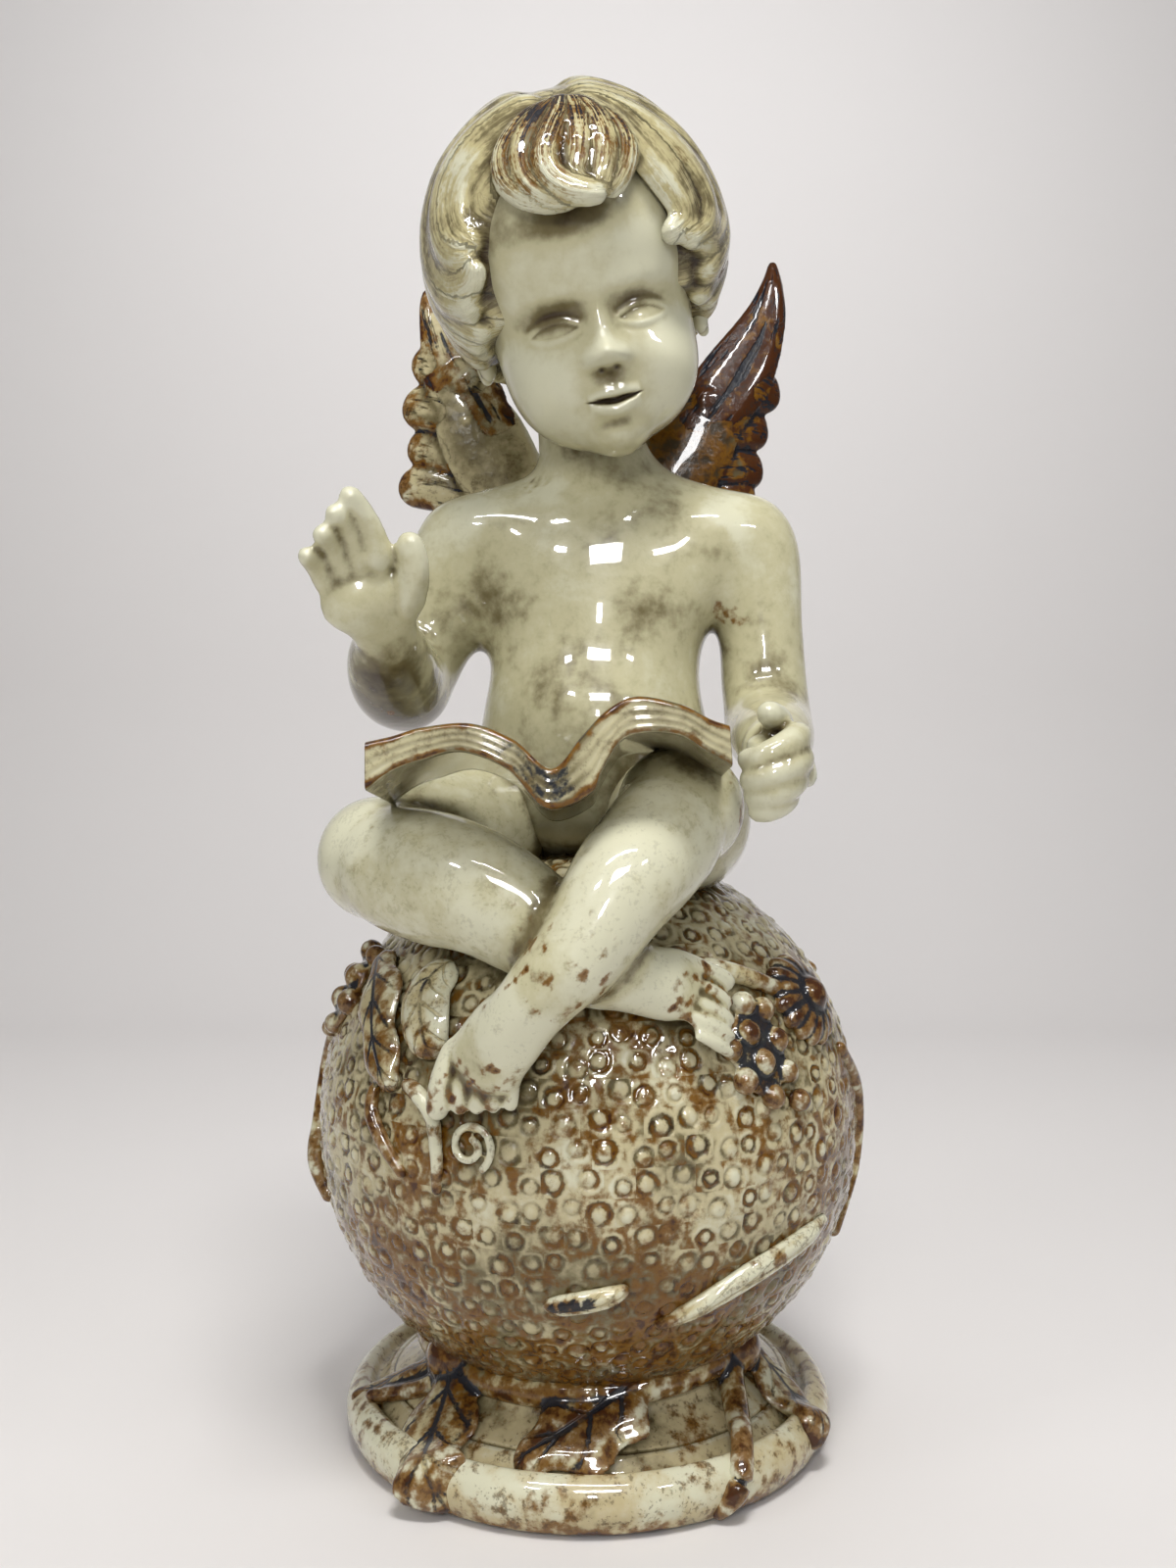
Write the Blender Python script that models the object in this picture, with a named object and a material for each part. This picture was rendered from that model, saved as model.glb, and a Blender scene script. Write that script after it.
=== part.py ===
"""Cherub reading an open book, cross-legged on a dimpled orb wound with vines, on a round moulded foot.

Everything is one casting. Each form is a closed surface made by carrying a section along a path; all of
them are joined into one mesh, which is fused, softened and thinned by modifiers, and cut flat at the table.
Metres, +Z up, the cherub faces -Y, the origin is the middle of the foot's underside. Left and right are
the viewer's.
"""

import math

import bpy
import numpy as np

# Driving dimensions, in metres
FOOT_DIAMETER = 0.247  # over the rounded rim
FOOT_RIM_HEIGHT = 0.0255
FOOT_RIM_WIDTH = 0.0155  # from the outer edge to the groove inside the rim
MOUND_HEIGHT = 0.047  # where the sloping top of the foot meets the orb
MOUND_OVERLAP = 0.004  # how far the foot reaches up inside the orb
ORB_DIAMETER = 0.274
ORB_SEAT = 0.022  # the orb's lowest point above the table, sunk in the foot
BRANCH_THICKNESS = 0.015
BRANCH_WAVE = 0.002  # how far the branch ring rises and falls
FIGURE_HEIGHT = 0.385  # from the seat on top of the orb to the crown
BOOK_WIDTH = 0.150  # across the open pages
BOOK_LENGTH = 0.080  # from the head of the page to its foot
BOOK_THICKNESS = 0.0135  # of the pages halfway across
BERRY_DIAMETER = 0.012
VINE_THICKNESS = 0.009
LEAF_THICKNESS = 0.009

# How the fused surface is made
FUSE_VOXEL = 0.0022
SOFTEN_STEPS = 3
TRIANGLES = 9850
SPARING = 1.4e-5  # how strongly the thinning spares the finely carved places
WEIGHT_BANDS = 8
UNDER_TABLE = 0.012  # how far the foot is drawn below the table before it is cut flat

# The figure is drawn in millimetres for these sizes, and scaled to the ones above
DRAWN_HEIGHT = 385
DRAWN_BOOK = (150, 80, 13.5)
DRAWN_VINE = 0.009
MM = FIGURE_HEIGHT / DRAWN_HEIGHT

ORB_RADIUS = ORB_DIAMETER / 2
ORB_CENTRE = np.array([0, 0, ORB_SEAT + ORB_RADIUS])
SEAT = ORB_CENTRE + [0, 0, ORB_RADIUS - 0.006]
FOOT_RADIUS = FOOT_DIAMETER / 2
RING_RADIUS = math.sqrt(ORB_RADIUS**2 - (ORB_CENTRE[2] - MOUND_HEIGHT) ** 2)

CREAM_GLAZE = (0.74, 0.72, 0.60, 1.0)
GLAZE_ROUGHNESS = 0.08


# Surfaces


def curve_through(rows, count):
    """Catmull-Rom curve through the rows of any width, its samples crowded towards both ends."""
    rows = np.asarray(rows, float)
    padded = np.concatenate([[2 * rows[0] - rows[1]], rows, [2 * rows[-1] - rows[-2]]])
    along = (1 - np.cos(np.pi * np.linspace(0, 1, count))) / 2 * (len(rows) - 1)
    first = np.minimum(along.astype(int), len(rows) - 2)
    t = (along - first)[:, None]
    a, b, c, d = (padded[first + k] for k in range(4))
    return 0.5 * (2 * b + (c - a) * t + (2 * a - 5 * b + 4 * c - d) * t**2 + (3 * b - a - 3 * c + d) * t**3)


def unit(vectors):
    return vectors / np.maximum(np.linalg.norm(vectors, axis=-1, keepdims=True), 1e-12)


def lofted(rings):
    """(points, faces) of the closed surface through rings of points, each end closed on its own middle."""
    count, sides, _ = rings.shape
    points = np.concatenate([rings.reshape(-1, 3), [rings[0].mean(0), rings[-1].mean(0)]])
    ring, side = np.meshgrid(np.arange(count - 1), np.arange(sides), indexing="ij")
    here, there = ring * sides + side, ring * sides + (side + 1) % sides
    walls = np.stack([here, there, there + sides, here + sides], -1).reshape(-1, 4)
    side = np.arange(sides)
    last = (count - 1) * sides
    start = np.stack([np.full(sides, count * sides), (side + 1) % sides, side], -1)
    end = np.stack([np.full(sides, count * sides + 1), last + side, last + (side + 1) % sides], -1)
    return points, walls.tolist() + start.tolist() + end.tolist()


def swept(path, width, depth, normal, sides=16):
    """An ellipse of half-width and half-depth carried along a path, its depth along normal, both ends rounded."""
    tangent = unit(np.gradient(path, axis=0))
    across = unit(np.cross(tangent, np.broadcast_to(normal, path.shape)))
    out = np.cross(across, tangent)
    run = np.concatenate([[0], np.cumsum(np.linalg.norm(np.diff(path, axis=0), axis=1))])
    rounding = np.ones(len(path))
    for travelled, reach in ((run, width[2]), (run[-1] - run, width[-3])):
        left = 1 - np.clip(travelled / min(reach, run[-1] / 2), 0, 1)
        rounding *= np.sqrt(np.clip(1 - left**2, 0.0004, 1))
    turn = np.linspace(0, 2 * np.pi, sides, endpoint=False)
    spread = np.cos(turn) * (width * rounding)[:, None]
    lift = np.sin(turn) * (depth * rounding)[:, None]
    return lofted(path[:, None] + spread[..., None] * across[:, None] + lift[..., None] * out[:, None])


def limb(rows, count=30, sides=20, normal=(0.31, 0.52, 0.80)):
    """A round limb through rows of (x, y, z, radius)."""
    rows = curve_through(rows, count)
    return swept(rows[:, :3], rows[:, 3], rows[:, 3], normal, sides)


def strap(rows, depth, normal, count=24, sides=12):
    """A flattened form of one half-depth through rows of (x, y, z, half-width)."""
    rows = curve_through(rows, count)
    return swept(rows[:, :3], rows[:, 3], np.minimum(rows[:, 3], depth), normal, sides)


def ball(centre, radii, turn=None, sides=20):
    """An ellipsoid, turned by a rotation matrix if there is one."""
    angle = np.linspace(0.06, np.pi - 0.06, sides // 2 + 1)[:, None]
    round_it = np.linspace(0, 2 * np.pi, sides, endpoint=False)[None]
    rings = np.stack(
        [np.sin(angle) * np.cos(round_it), np.sin(angle) * np.sin(round_it), -np.cos(angle) + 0 * round_it], -1
    )
    rings = rings * np.asarray(radii, float)
    return lofted(np.asarray(centre, float) + (rings if turn is None else rings @ turn.T))


def turned(profile, sides=96):
    """A solid of revolution about Z from rows of (radius, height), bottom to top."""
    profile = np.asarray(profile, float)
    turn = np.linspace(0, 2 * np.pi, sides, endpoint=False)
    radius, height = profile[:, :1], profile[:, 1:]
    return lofted(np.stack([radius * np.cos(turn), radius * np.sin(turn), height + 0 * turn], -1))


# Places on the figure, the head, the orb and the foot


def figure_rows(rows):
    """Rows of (x, y, z, sizes...) in drawn millimetres from the seat, as world points and sizes in metres."""
    rows = np.asarray(rows, float) * MM
    rows[:, :3] += SEAT
    return rows


def rotation(axis, degrees):
    c, s = math.cos(math.radians(degrees)), math.sin(math.radians(degrees))
    i, j = [(1, 2), (2, 0), (0, 1)][axis]
    made = np.eye(3)
    made[i, i] = made[j, j] = c
    made[i, j], made[j, i] = -s, s
    return made


HEAD_MIDDLE = (-8, -31, 307)
HEAD_TURN = rotation(1, -13) @ rotation(0, 15)  # leaned to the left shoulder, then bowed


def on_head(places):
    """World points of places drawn in millimetres from the middle of the skull, in the head's own frame."""
    return SEAT + (np.asarray(HEAD_MIDDLE) + np.asarray(places, float) @ HEAD_TURN.T) * MM


def direction(azimuth, elevation):
    """Unit vector; azimuth 0 faces the front and grows to the right."""
    a, e = np.broadcast_arrays(np.radians(azimuth), np.radians(elevation))
    return np.stack([np.sin(a) * np.cos(e), -np.cos(a) * np.cos(e), np.sin(e)], -1)


def on_orb(azimuth, elevation, lift=0.0):
    return ORB_CENTRE + direction(azimuth, elevation) * (ORB_RADIUS + lift)


def orb_rows(rows):
    """Rows of (azimuth, elevation, lift, sizes...) on the orb, in degrees and millimetres, as world rows."""
    rows = np.asarray(rows, float)
    return np.column_stack([on_orb(rows[:, 0], rows[:, 1], rows[:, 2:3] / 1000), rows[:, 3:] / 1000])


GROOVE_RADIUS = FOOT_RADIUS - FOOT_RIM_WIDTH
FOOT_PROFILE = np.array([  # outwards from the table, over the rim, down the groove and up the mound
    (FOOT_RADIUS - 0.0085, 0),
    (FOOT_RADIUS - 0.0035, 0.003),
    (FOOT_RADIUS, FOOT_RIM_HEIGHT * 0.47),
    (FOOT_RADIUS - 0.0015, FOOT_RIM_HEIGHT * 0.78),
    (FOOT_RADIUS - FOOT_RIM_WIDTH * 0.45, FOOT_RIM_HEIGHT),
    (FOOT_RADIUS - FOOT_RIM_WIDTH * 0.72, FOOT_RIM_HEIGHT - 0.0005),
    (GROOVE_RADIUS, FOOT_RIM_HEIGHT - 0.005),
    (GROOVE_RADIUS - 0.006, FOOT_RIM_HEIGHT + 0.0005),
    (RING_RADIUS + 0.007, MOUND_HEIGHT - 0.011),
    (RING_RADIUS, MOUND_HEIGHT),
])


def foot_rows(rows):
    """Rows of (azimuth, reach, lift, sizes...) on the foot; reach runs 0 to 1 from the table to the orb."""
    rows = np.asarray(rows, float)
    run = np.concatenate([[0], np.cumsum(np.linalg.norm(np.diff(FOOT_PROFILE, axis=0), axis=1))])
    radius, height = (np.interp(rows[:, 1] * run[-1], run, FOOT_PROFILE[:, k]) for k in range(2))
    spots = direction(rows[:, 0], 0) * radius[:, None]
    spots[:, 2] = height
    rise = unit(np.column_stack([spots[:, :2] * 0.7, np.full(len(rows), FOOT_RADIUS)]))
    return np.column_stack([spots + rise * rows[:, 2:3] / 1000, rows[:, 3:] / 1000])


# Head: ray lengths to a few ellipsoids blended where they meet, then bumps pushed out of the face

HEAD_FORMS = (  # middle and half-sizes
    ((0, 4, -2), (64, 71, 66)),
    ((0, -20, 0), (52, 50, 48)),
    ((0, -16, -50), (48, 49, 55)),
    ((-24, -32, -66), (24, 25, 27)),
    ((24, -32, -66), (24, 25, 27)),
    ((0, -42, -94), (15, 15, 14)),
    ((0, -54, -80), (17, 12, 15)),
)
FACE_BUMPS = (  # x, z, half-width, half-height and how far it stands forward
    (0, -47, 6, 13, 5),
    (0, -59, 8, 6.5, 12),
    (-6, -61, 5, 4, 4),
    (6, -61, 5, 4, 4),
    (0, -73.5, 13, 3.4, 4.5),
    (0, -87, 11, 4.5, 6),
    (0, -80, 12, 3.4, -5),
    (-20, -44, 12, 8, -7),
    (20, -44, 12, 8, -7),
    (-20, -45, 8, 5, 5.5),
    (20, -45, 8, 5, 5.5),
    (-20, -29, 15, 5, 2.5),
    (20, -29, 15, 5, 2.5),
)
BLEND = 0.5  # sharpness of the blend, per millimetre
HAIR_MIDDLE = (0, 4, -2)
HAIR_SIZE = (70, 77, 71)
HAIR_SUNK = 12


def ray_length(rays, middle, size):
    """Distance along each unit ray from the skull's middle to an ellipsoid's far side, 0 where it misses."""
    scaled, start = rays / size, -np.asarray(middle, float) / size
    a, b, c = (scaled**2).sum(-1), (scaled * start).sum(-1), (start**2).sum() - 1
    root = b * b - a * c
    return np.where(root > 0, (-b + np.sqrt(np.maximum(root, 0))) / a, 0)


def skin_places(rays):
    """Places of the skin along the rays, with the face's bumps pushed forward."""
    total = sum(np.exp(np.maximum(ray_length(rays, *form), 0) * BLEND) for form in HEAD_FORMS)
    places = rays * (np.log(total) / BLEND)[..., None]
    front = np.clip(-places[..., 1] / 25 - 0.6, 0, 1)
    for x, z, wide, tall, stand in FACE_BUMPS:
        hump = np.exp(-((places[..., 0] - x) ** 2 / wide**2 + (places[..., 2] - z) ** 2 / tall**2))
        places[..., 1] -= stand * hump * front
    return places


def hair_cover(azimuth, elevation):
    """1 under the hair and 0 on the face and neck: the face's opening widens towards the jaw."""
    side = 40 + np.clip(-30 - elevation, 0, 40) * 2.6
    rise = np.clip((elevation + 30) / 42, 0, 3)
    face = np.clip(3.5 * (np.sqrt((azimuth / side) ** 2 + rise**2) - 1) + 0.5, 0, 1)
    nape = np.clip((elevation + 58) / 6, 0, 1)
    return face * nape


def on_hair(rows):
    """Rows of (azimuth, elevation, lift, sizes...) on the hair's surface, in degrees and millimetres."""
    rows = np.asarray(rows, float)
    rays = direction(rows[:, 0], rows[:, 1])
    places = rays * (ray_length(rays, HAIR_MIDDLE, HAIR_SIZE) + rows[:, 2])[:, None]
    return np.column_stack([on_head(places), rows[:, 3:] * MM])


SIDE_LOCKS = (  # azimuth, elevation, lift and half-width; the right side first, then mirrored with a little less swing
    ((8, 44, 0, 8), (26, 36, 1, 9), (43, 20, 1, 9), (50, 4, 2, 8), (42, -8, 3, 5)),
    ((10, 62, 0, 9), (42, 47, 1, 10), (66, 28, 2, 10), (73, 10, 3, 9), (62, -3, 5, 8), (42, -12, 5, 5)),
    ((14, 74, 0, 9), (62, 60, 1, 10), (86, 28, 2, 10), (86, 0, 4, 9), (68, -20, 4, 8), (52, -27, 4, 5)),
    ((30, 82, 0, 9), (92, 56, 1, 10), (104, 22, 2, 10), (98, -8, 3, 9), (78, -30, 3, 8), (62, -38, 3, 4)),
    ((60, 84, 0, 9), (116, 52, 1, 11), (124, 16, 2, 11), (112, -16, 3, 10), (98, -38, 3, 8), (84, -47, 3, 4)),
    ((100, 84, 0, 9), (136, 48, 1, 11), (142, 12, 2, 12), (130, -18, 3, 11), (118, -42, 2, 8), (108, -54, 2, 4)),
    ((150, 82, 0, 9), (156, 46, 1, 11), (163, 12, 2, 12), (150, -20, 3, 11), (142, -44, 2, 8), (134, -57, 2, 4)),
    ((178, 70, 0, 9), (178, 40, 1, 11), (184, 10, 2, 12), (172, -22, 3, 11), (168, -46, 2, 8), (164, -58, 2, 4)),
)
FOREHEAD_LOCKS = (
    ((5, 52, 0, 5), (-4, 46, 2, 6), (-15, 36, 4, 6), (-20, 24, 5, 6), (-17, 13, 4, 4)),
    ((6, 52, 0, 5), (2, 42, 4, 6), (-6, 29, 6, 6), (-10, 17, 7, 7), (-5, 7, 7, 7), (6, 3, 6, 5)),
    ((8, 52, 0, 5), (6, 42, 4, 6), (3, 30, 6, 6), (0, 19, 7, 6), (5, 10, 7, 5)),
    ((10, 52, 0, 5), (14, 42, 3, 6), (17, 29, 5, 6), (16, 17, 6, 6), (10, 6, 5, 5)),
    ((10, 50, 0, 5), (20, 42, 2, 6), (24, 30, 3, 6), (22, 18, 4, 5), (15, 9, 4, 4)),
)


def head_shapes():
    azimuth, elevation = np.meshgrid(np.linspace(-180, 180, 120, endpoint=False), np.linspace(-88, 88, 90))
    rays = direction(azimuth, elevation)
    shapes = [lofted(on_head(skin_places(rays)))]
    cover = hair_cover(azimuth, elevation)
    crown = ray_length(rays, HAIR_MIDDLE, HAIR_SIZE) - HAIR_SUNK * (1 - cover)
    shapes.append(lofted(on_head(rays * crown[..., None])))
    outwards = SEAT + np.array(HEAD_MIDDLE) * MM
    locks = [np.array(rows, float) for rows in FOREHEAD_LOCKS]
    for rows in SIDE_LOCKS:
        locks += [np.array(rows, float), np.array(rows, float) * [-1, 1, 1, 1] + [4, 4, 0, 0]]
    for rows in locks:
        rows = curve_through(on_hair(rows), 26)
        depth = np.minimum(rows[:, 3], 6.5 * MM)
        shapes.append(swept(rows[:, :3], rows[:, 3], depth, rows[:, :3] - outwards, 12))
    for side in (-1, 1):
        shapes.append(ball(on_head((58 * side, 4, -55)), np.array([7, 11, 15]) * MM, HEAD_TURN))
    return shapes


# Body

TORSO = (  # x, y, z, half-width, half-depth
    (4, 12, -14, 50, 44),
    (4, 12, -6, 64, 56),
    (4, 12, 15, 72, 60),
    (4, 5, 45, 64, 57),
    (3, 0, 75, 57.5, 53),
    (4, 2, 100, 54, 47),
    (6, 4, 130, 60, 47),
    (8, 6, 155, 66, 44),
    (9, 8, 175, 62, 37),
    (7, 8, 190, 44, 30),
    (4, 4, 202, 30, 28),
    (0, 0, 225, 27, 27),
    (-4, -6, 262, 27, 27),
)
FILLS = (  # middle and half-sizes: chest, belly, the flesh between arm and chest, and the knees
    ((-21, -29.5, 142), (30, 9.5, 26)),
    ((34, -27.5, 142), (30, 9.5, 26)),
    ((4, -34, 66), (38, 24, 32)),
    ((-55, 2, 133), (17, 23, 30)),
    ((70, 2, 148), (17, 23, 24)),
    ((-100, -60, 4), (27.5, 27.5, 27.5)),
    ((43, -87, 27), (28.5, 28.5, 28.5)),
)
SHOULDERS = ((-66, 4, 164, 22), (-30, 7, 173, 25), (8, 9, 177, 27), (46, 7, 173, 25), (84, 4, 164, 22))
RIGHT_ARM = (
    (60, 6, 172, 24), (83, 4, 161, 26), (89, 1, 122, 22.5), (91, -2, 90, 22.5), (92.5, -9, 68, 22.5),
    (91, -30, 62, 22), (89, -55, 58, 19.5), (85, -78, 54, 16), (83, -92, 50, 14),
)
LEFT_ARM = (
    (-45, 6, 172, 24), (-63, 4, 162, 26.5), (-77, 4, 125, 23.5), (-89, 2, 98, 23), (-93, -9, 87, 23.5),
    (-95, -35, 90, 23.5), (-94, -62, 97, 20.5), (-92, -82, 103, 16.5), (-94, -94, 109, 15),
)
OPEN_PALM = (
    (-92, -86, 103, 15), (-94, -97, 110, 20), (-97, -104, 119, 23), (-101, -107, 129, 22),
    (-103, -108, 137, 18),
)
OPEN_FINGERS = (
    ((-92, -104, 131, 8), (-95, -110, 146, 6.6), (-100, -117, 157, 5.6), (-105, -124, 164, 4.6)),
    ((-99, -104, 130, 8), (-103, -110, 143, 6.4), (-107, -118, 151, 5.4), (-110.5, -126, 155, 4.4)),
    ((-106, -104, 127, 7.5), (-111, -110, 138, 6), (-113.5, -118, 143.5, 5.2), (-115, -126, 145, 4.3)),
    ((-113, -103, 122, 7), (-118, -108, 131, 5.6), (-121, -115, 135, 4.8), (-123, -122, 136.5, 3.9)),
    ((-80, -92, 112, 10), (-77, -102, 126, 8.5), (-77.5, -108, 139, 6.8), (-80, -112, 147.5, 5)),
)
CLOSED_PALM = ((85, -78, 54, 15), (87, -92, 50, 17), (86, -104, 45, 19), (84, -110, 41, 15))
CLOSED_FINGERS = (
    ((95, -100, 60, 7), (88, -114, 55, 6.6), (76, -117, 49, 6), (66, -110, 47, 4.8)),
    ((96, -100, 50, 7), (89, -115, 45, 6.6), (77, -118, 40, 6), (67, -110, 38.5, 4.8)),
    ((94, -99, 41, 6.6), (88, -113, 36, 6.2), (78, -116, 32, 5.6), (69, -109, 31, 4.6)),
    ((91, -98, 33, 6), (85, -109, 28, 5.6), (78, -112, 25, 5.1), (71, -107, 25, 4.3)),
    ((88, -88, 60, 8), (84, -99, 66, 7), (80, -107, 68, 6), (78, -112, 67, 5)),
)
LEFT_THIGH = ((-30, 10, 18, 36), (-52, -12, 16, 38), (-72, -34, 12, 36), (-90, -52, 7, 31), (-101, -62, 4, 27))
LEFT_SHIN = ((-101, -60, 4, 27), (-88, -80, -1, 29), (-66, -98, -6, 30), (-43, -110, -13, 27))
RIGHT_THIGH = ((40, 10, 20, 40), (42, -20, 18, 39), (44, -50, 20, 35), (45, -72, 24, 31), (43, -88, 26, 28.5))
RIGHT_SHIN = ((43, -88, 26, 28), (36, -104, 18, 27), (26, -118, 6, 26), (14, -133, -7, 24.5))
LEFT_ANKLE = ((0, 37, 17, 21), (6, 35.5, 14, 18), (11, 34, 13, 16))  # azimuth, elevation, lift, radius
RIGHT_ANKLE = ((-1.5, 34, 38, 20), (-7, 29.5, 34, 17.5), (-11, 26, 28, 16))
LEFT_SOLE = ((8, 37, 13, 15), (14, 34, 12, 17), (20, 31, 11, 17.5), (24.5, 28, 9, 16.5))
RIGHT_SOLE = (
    (-8, 28, 29, 15.5), (-13, 23.5, 21, 18.5), (-17.5, 19, 14, 20.5), (-20.5, 15.5, 9, 21), (-21.5, 14, 7, 19),
)
TOES = 5
BIG_TOE = 1.4


def toes(first, last, lift, point, big):
    """Toes side by side between two places (azimuth, elevation), pointing by point; number big is thicker."""
    made = []
    for k in range(TOES):
        a, e = np.array(first) + (np.array(last) - first) * k / (TOES - 1)
        size = BIG_TOE if k == big else 1
        rows = [
            (a - back * point[0], e - back * point[1], lift + rise, radius * size)
            for back, rise, radius in ((4, 2, 3.6), (1, 1, 4.2), (-1, 0, 3.6))
        ]
        made.append(limb(orb_rows(rows), 12, 12))
    return made


def body_shapes():
    torso = curve_through(figure_rows(TORSO), 60)
    shapes = [swept(torso[:, :3], torso[:, 3], torso[:, 4], (0, -1, 0), 48)]
    shapes.append(limb(figure_rows(SHOULDERS), 32, 20))
    for middle, size in FILLS:
        shapes.append(ball(figure_rows([middle])[0], np.array(size) * MM))
    for rows in (RIGHT_ARM, LEFT_ARM):
        shapes.append(limb(figure_rows(rows), 48, 24))
    for palm, fingers in ((OPEN_PALM, OPEN_FINGERS), (CLOSED_PALM, CLOSED_FINGERS)):
        shapes.append(strap(figure_rows(palm), 10 * MM, (0.2, -1, 0.1), 20))
        shapes += [limb(figure_rows(rows), 18, 12) for rows in fingers]
    return shapes


def leg_shapes():
    shapes = [limb(figure_rows(LEFT_THIGH)), limb(figure_rows(RIGHT_THIGH))]
    for shin, ankle, sole in ((LEFT_SHIN, LEFT_ANKLE, LEFT_SOLE), (RIGHT_SHIN, RIGHT_ANKLE, RIGHT_SOLE)):
        shapes.append(limb(np.concatenate([figure_rows(shin), orb_rows(ankle)]), 48, 24))
        rows = curve_through(orb_rows(sole), 24)
        shapes.append(swept(rows[:, :3], rows[:, 3], rows[:, 3] * 0.62, rows[:, :3] - ORB_CENTRE, 18))
    shapes += toes((-29, 13.5), (-14, 12.5), 5, (0, -1), 0)
    shapes += toes((27.5, 33), (26, 24), 7, (0.9, -0.5), 0)
    return shapes


# Wings and book

LEFT_FEATHERS = (  # x, y, z, half-width
    ((-62, 50, 262, 6), (-86, 62, 277, 9.5), (-102, 66, 283, 9.5)),
    ((-60, 50, 244, 6), (-86, 62, 257, 9.5), (-102, 66, 263, 9.5)),
    ((-58, 50, 226, 7), (-88, 60, 239, 11), (-109, 66, 243, 10.5)),
    ((-55, 50, 206, 7), (-86, 60, 217, 10), (-107, 66, 223, 10)),
    ((-50, 48, 188, 7), (-84, 58, 200, 11), (-109, 64, 207, 11)),
    ((-56, 50, 232, 20), (-76, 58, 266, 19), (-90, 64, 296, 11), (-96, 66, 312, 6), (-99, 67, 324, 2)),
)
RIGHT_FEATHERS = (
    ((58, 50, 250, 7), (92, 60, 262, 11), (113, 66, 262, 11)),
    ((56, 50, 230, 7), (88, 60, 240, 10), (104, 66, 240, 10)),
    ((54, 50, 212, 7), (84, 58, 222, 10), (103, 66, 224, 9.5)),
    ((50, 48, 194, 7), (84, 58, 208, 9), (100, 64, 208, 8), (110, 65, 202, 5)),
    ((76, 56, 262, 9), (98, 64, 284, 11), (106, 67, 296, 10)),
    ((60, 50, 235, 20), (84, 58, 268, 20), (99, 64, 298, 13), (104, 66, 318, 7), (105, 67, 334, 2)),
)
COVERTS = ((20, 40, 165, 14), (40, 46, 195, 22), (60, 52, 232, 24), (76, 58, 262, 14))
FEATHER_DEPTH = 5.5
COVERT_DEPTH = 8
BOOK_SPINE = (-15.5, -115, 0)
BOOK_ENDS = (  # x and z of the upper face, then of the lower face, from the left fore-edge to the right one
    (-90.8, 54.1, -90.8, 34.6),
    (-80, 56.5, -80, 42.5),
    (-67.7, 60.1, -67.7, 47),
    (-47.8, 61.7, -51.8, 50.5),
    (-30, 55, -32.8, 43),
    (-15, 43.5, -17.1, 27),
    (-3, 56, 1, 33),
    (8, 67.5, 6, 43),
    (19.9, 72.8, 15.9, 56.5),
    (38, 69.5, 35.8, 57.5),
    (50, 63.5, 49, 50),
    (57.7, 60.9, 58.9, 44.5),
)
BOOK_DROP = 7  # the page edge by the belly lies this much lower than the near one


def book_shape():
    """The open pages as one curved slab: rectangles from near edge to far edge, side by side across the book."""
    wide, length, thick = np.array([BOOK_WIDTH, BOOK_LENGTH, BOOK_THICKNESS]) * 1000 / DRAWN_BOOK
    rows = curve_through(BOOK_ENDS, 60)
    middle = (rows[:, 1] + rows[:, 3]) / 2
    rows[:, [0, 2]] = BOOK_SPINE[0] + (rows[:, [0, 2]] - BOOK_SPINE[0]) * wide
    rows[:, [1, 3]] = middle[:, None] + (rows[:, [1, 3]] - middle[:, None]) * thick
    half = DRAWN_BOOK[1] / 2 * length
    corners = []
    for x, z, side in ((0, 1, -1), (0, 1, 1), (2, 3, 1), (2, 3, -1)):
        edge = np.full(len(rows), BOOK_SPINE[1] + side * half)
        corners.append(np.column_stack([rows[:, x], edge, rows[:, z] - (side + 1) / 2 * BOOK_DROP]))
    return lofted(SEAT + np.stack(corners, 1) * MM)


def wing_shapes():
    shapes = []
    for rows in LEFT_FEATHERS + RIGHT_FEATHERS:
        shapes.append(strap(figure_rows(rows), FEATHER_DEPTH * MM, (0, -1, 0.1), 24, 14))
    for side in (-1, 1):
        rows = np.array(COVERTS, float) * [side, 1, 1, 1]
        shapes.append(strap(figure_rows(rows), COVERT_DEPTH * MM, (0, -1, 0.1), 24, 16))
    return shapes


# Orb, foot and what grows over them

GRAPES = (  # azimuth, elevation, share of a berry's diameter
    (-80, 37, 1.0), (-70, 37, 0.9), (-73, 31.5, 1.2), (-82, 31, 1.0), (-78, 26, 1.1), (-69, 26.5, 1.1), (-85, 25, 0.9),
    (-75, 21, 0.9), (-81, 19, 0.8),
    (44, 27, 1.0), (42, 22, 1.0), (49, 20, 1.0), (37, 18.5, 0.9), (43.5, 16.5, 1.0), (49, 14, 0.9), (41, 11.5, 1.0),
    (45, 8, 0.9), (50, 25.5, 1.0),
)
ROSETTE = (62, 24, 17)  # azimuth, elevation and radius of the petals
PETALS = 14
ORB_LEAVES = (  # paths of (azimuth, elevation, lift, half-width), with how many lobes
    (((-63, 38, 2, 6), (-54, 31, 3, 15), (-47, 22, 3, 14), (-40, 13, 2, 6)), 3),
    (((-34, 39, 2, 9), (-37, 32, 4, 13), (-34, 25, 4, 12), (-31, 20, 1, 7)), 0),
    (((14, -30, 1, 3), (22, -25.5, 3, 6), (33, -19.5, 4, 8), (46, -16, 3, 7), (56, -14, 1, 3)), 0),
    (((-11, -24.5, 1, 3), (-4, -23.5, 3, 6), (4, -22, 3, 6), (9, -20, 1, 3)), 0),
    (((150, 30, 1, 6), (163, 22, 3, 15), (172, 10, 3, 14), (178, -2, 2, 5)), 3),
)
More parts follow.
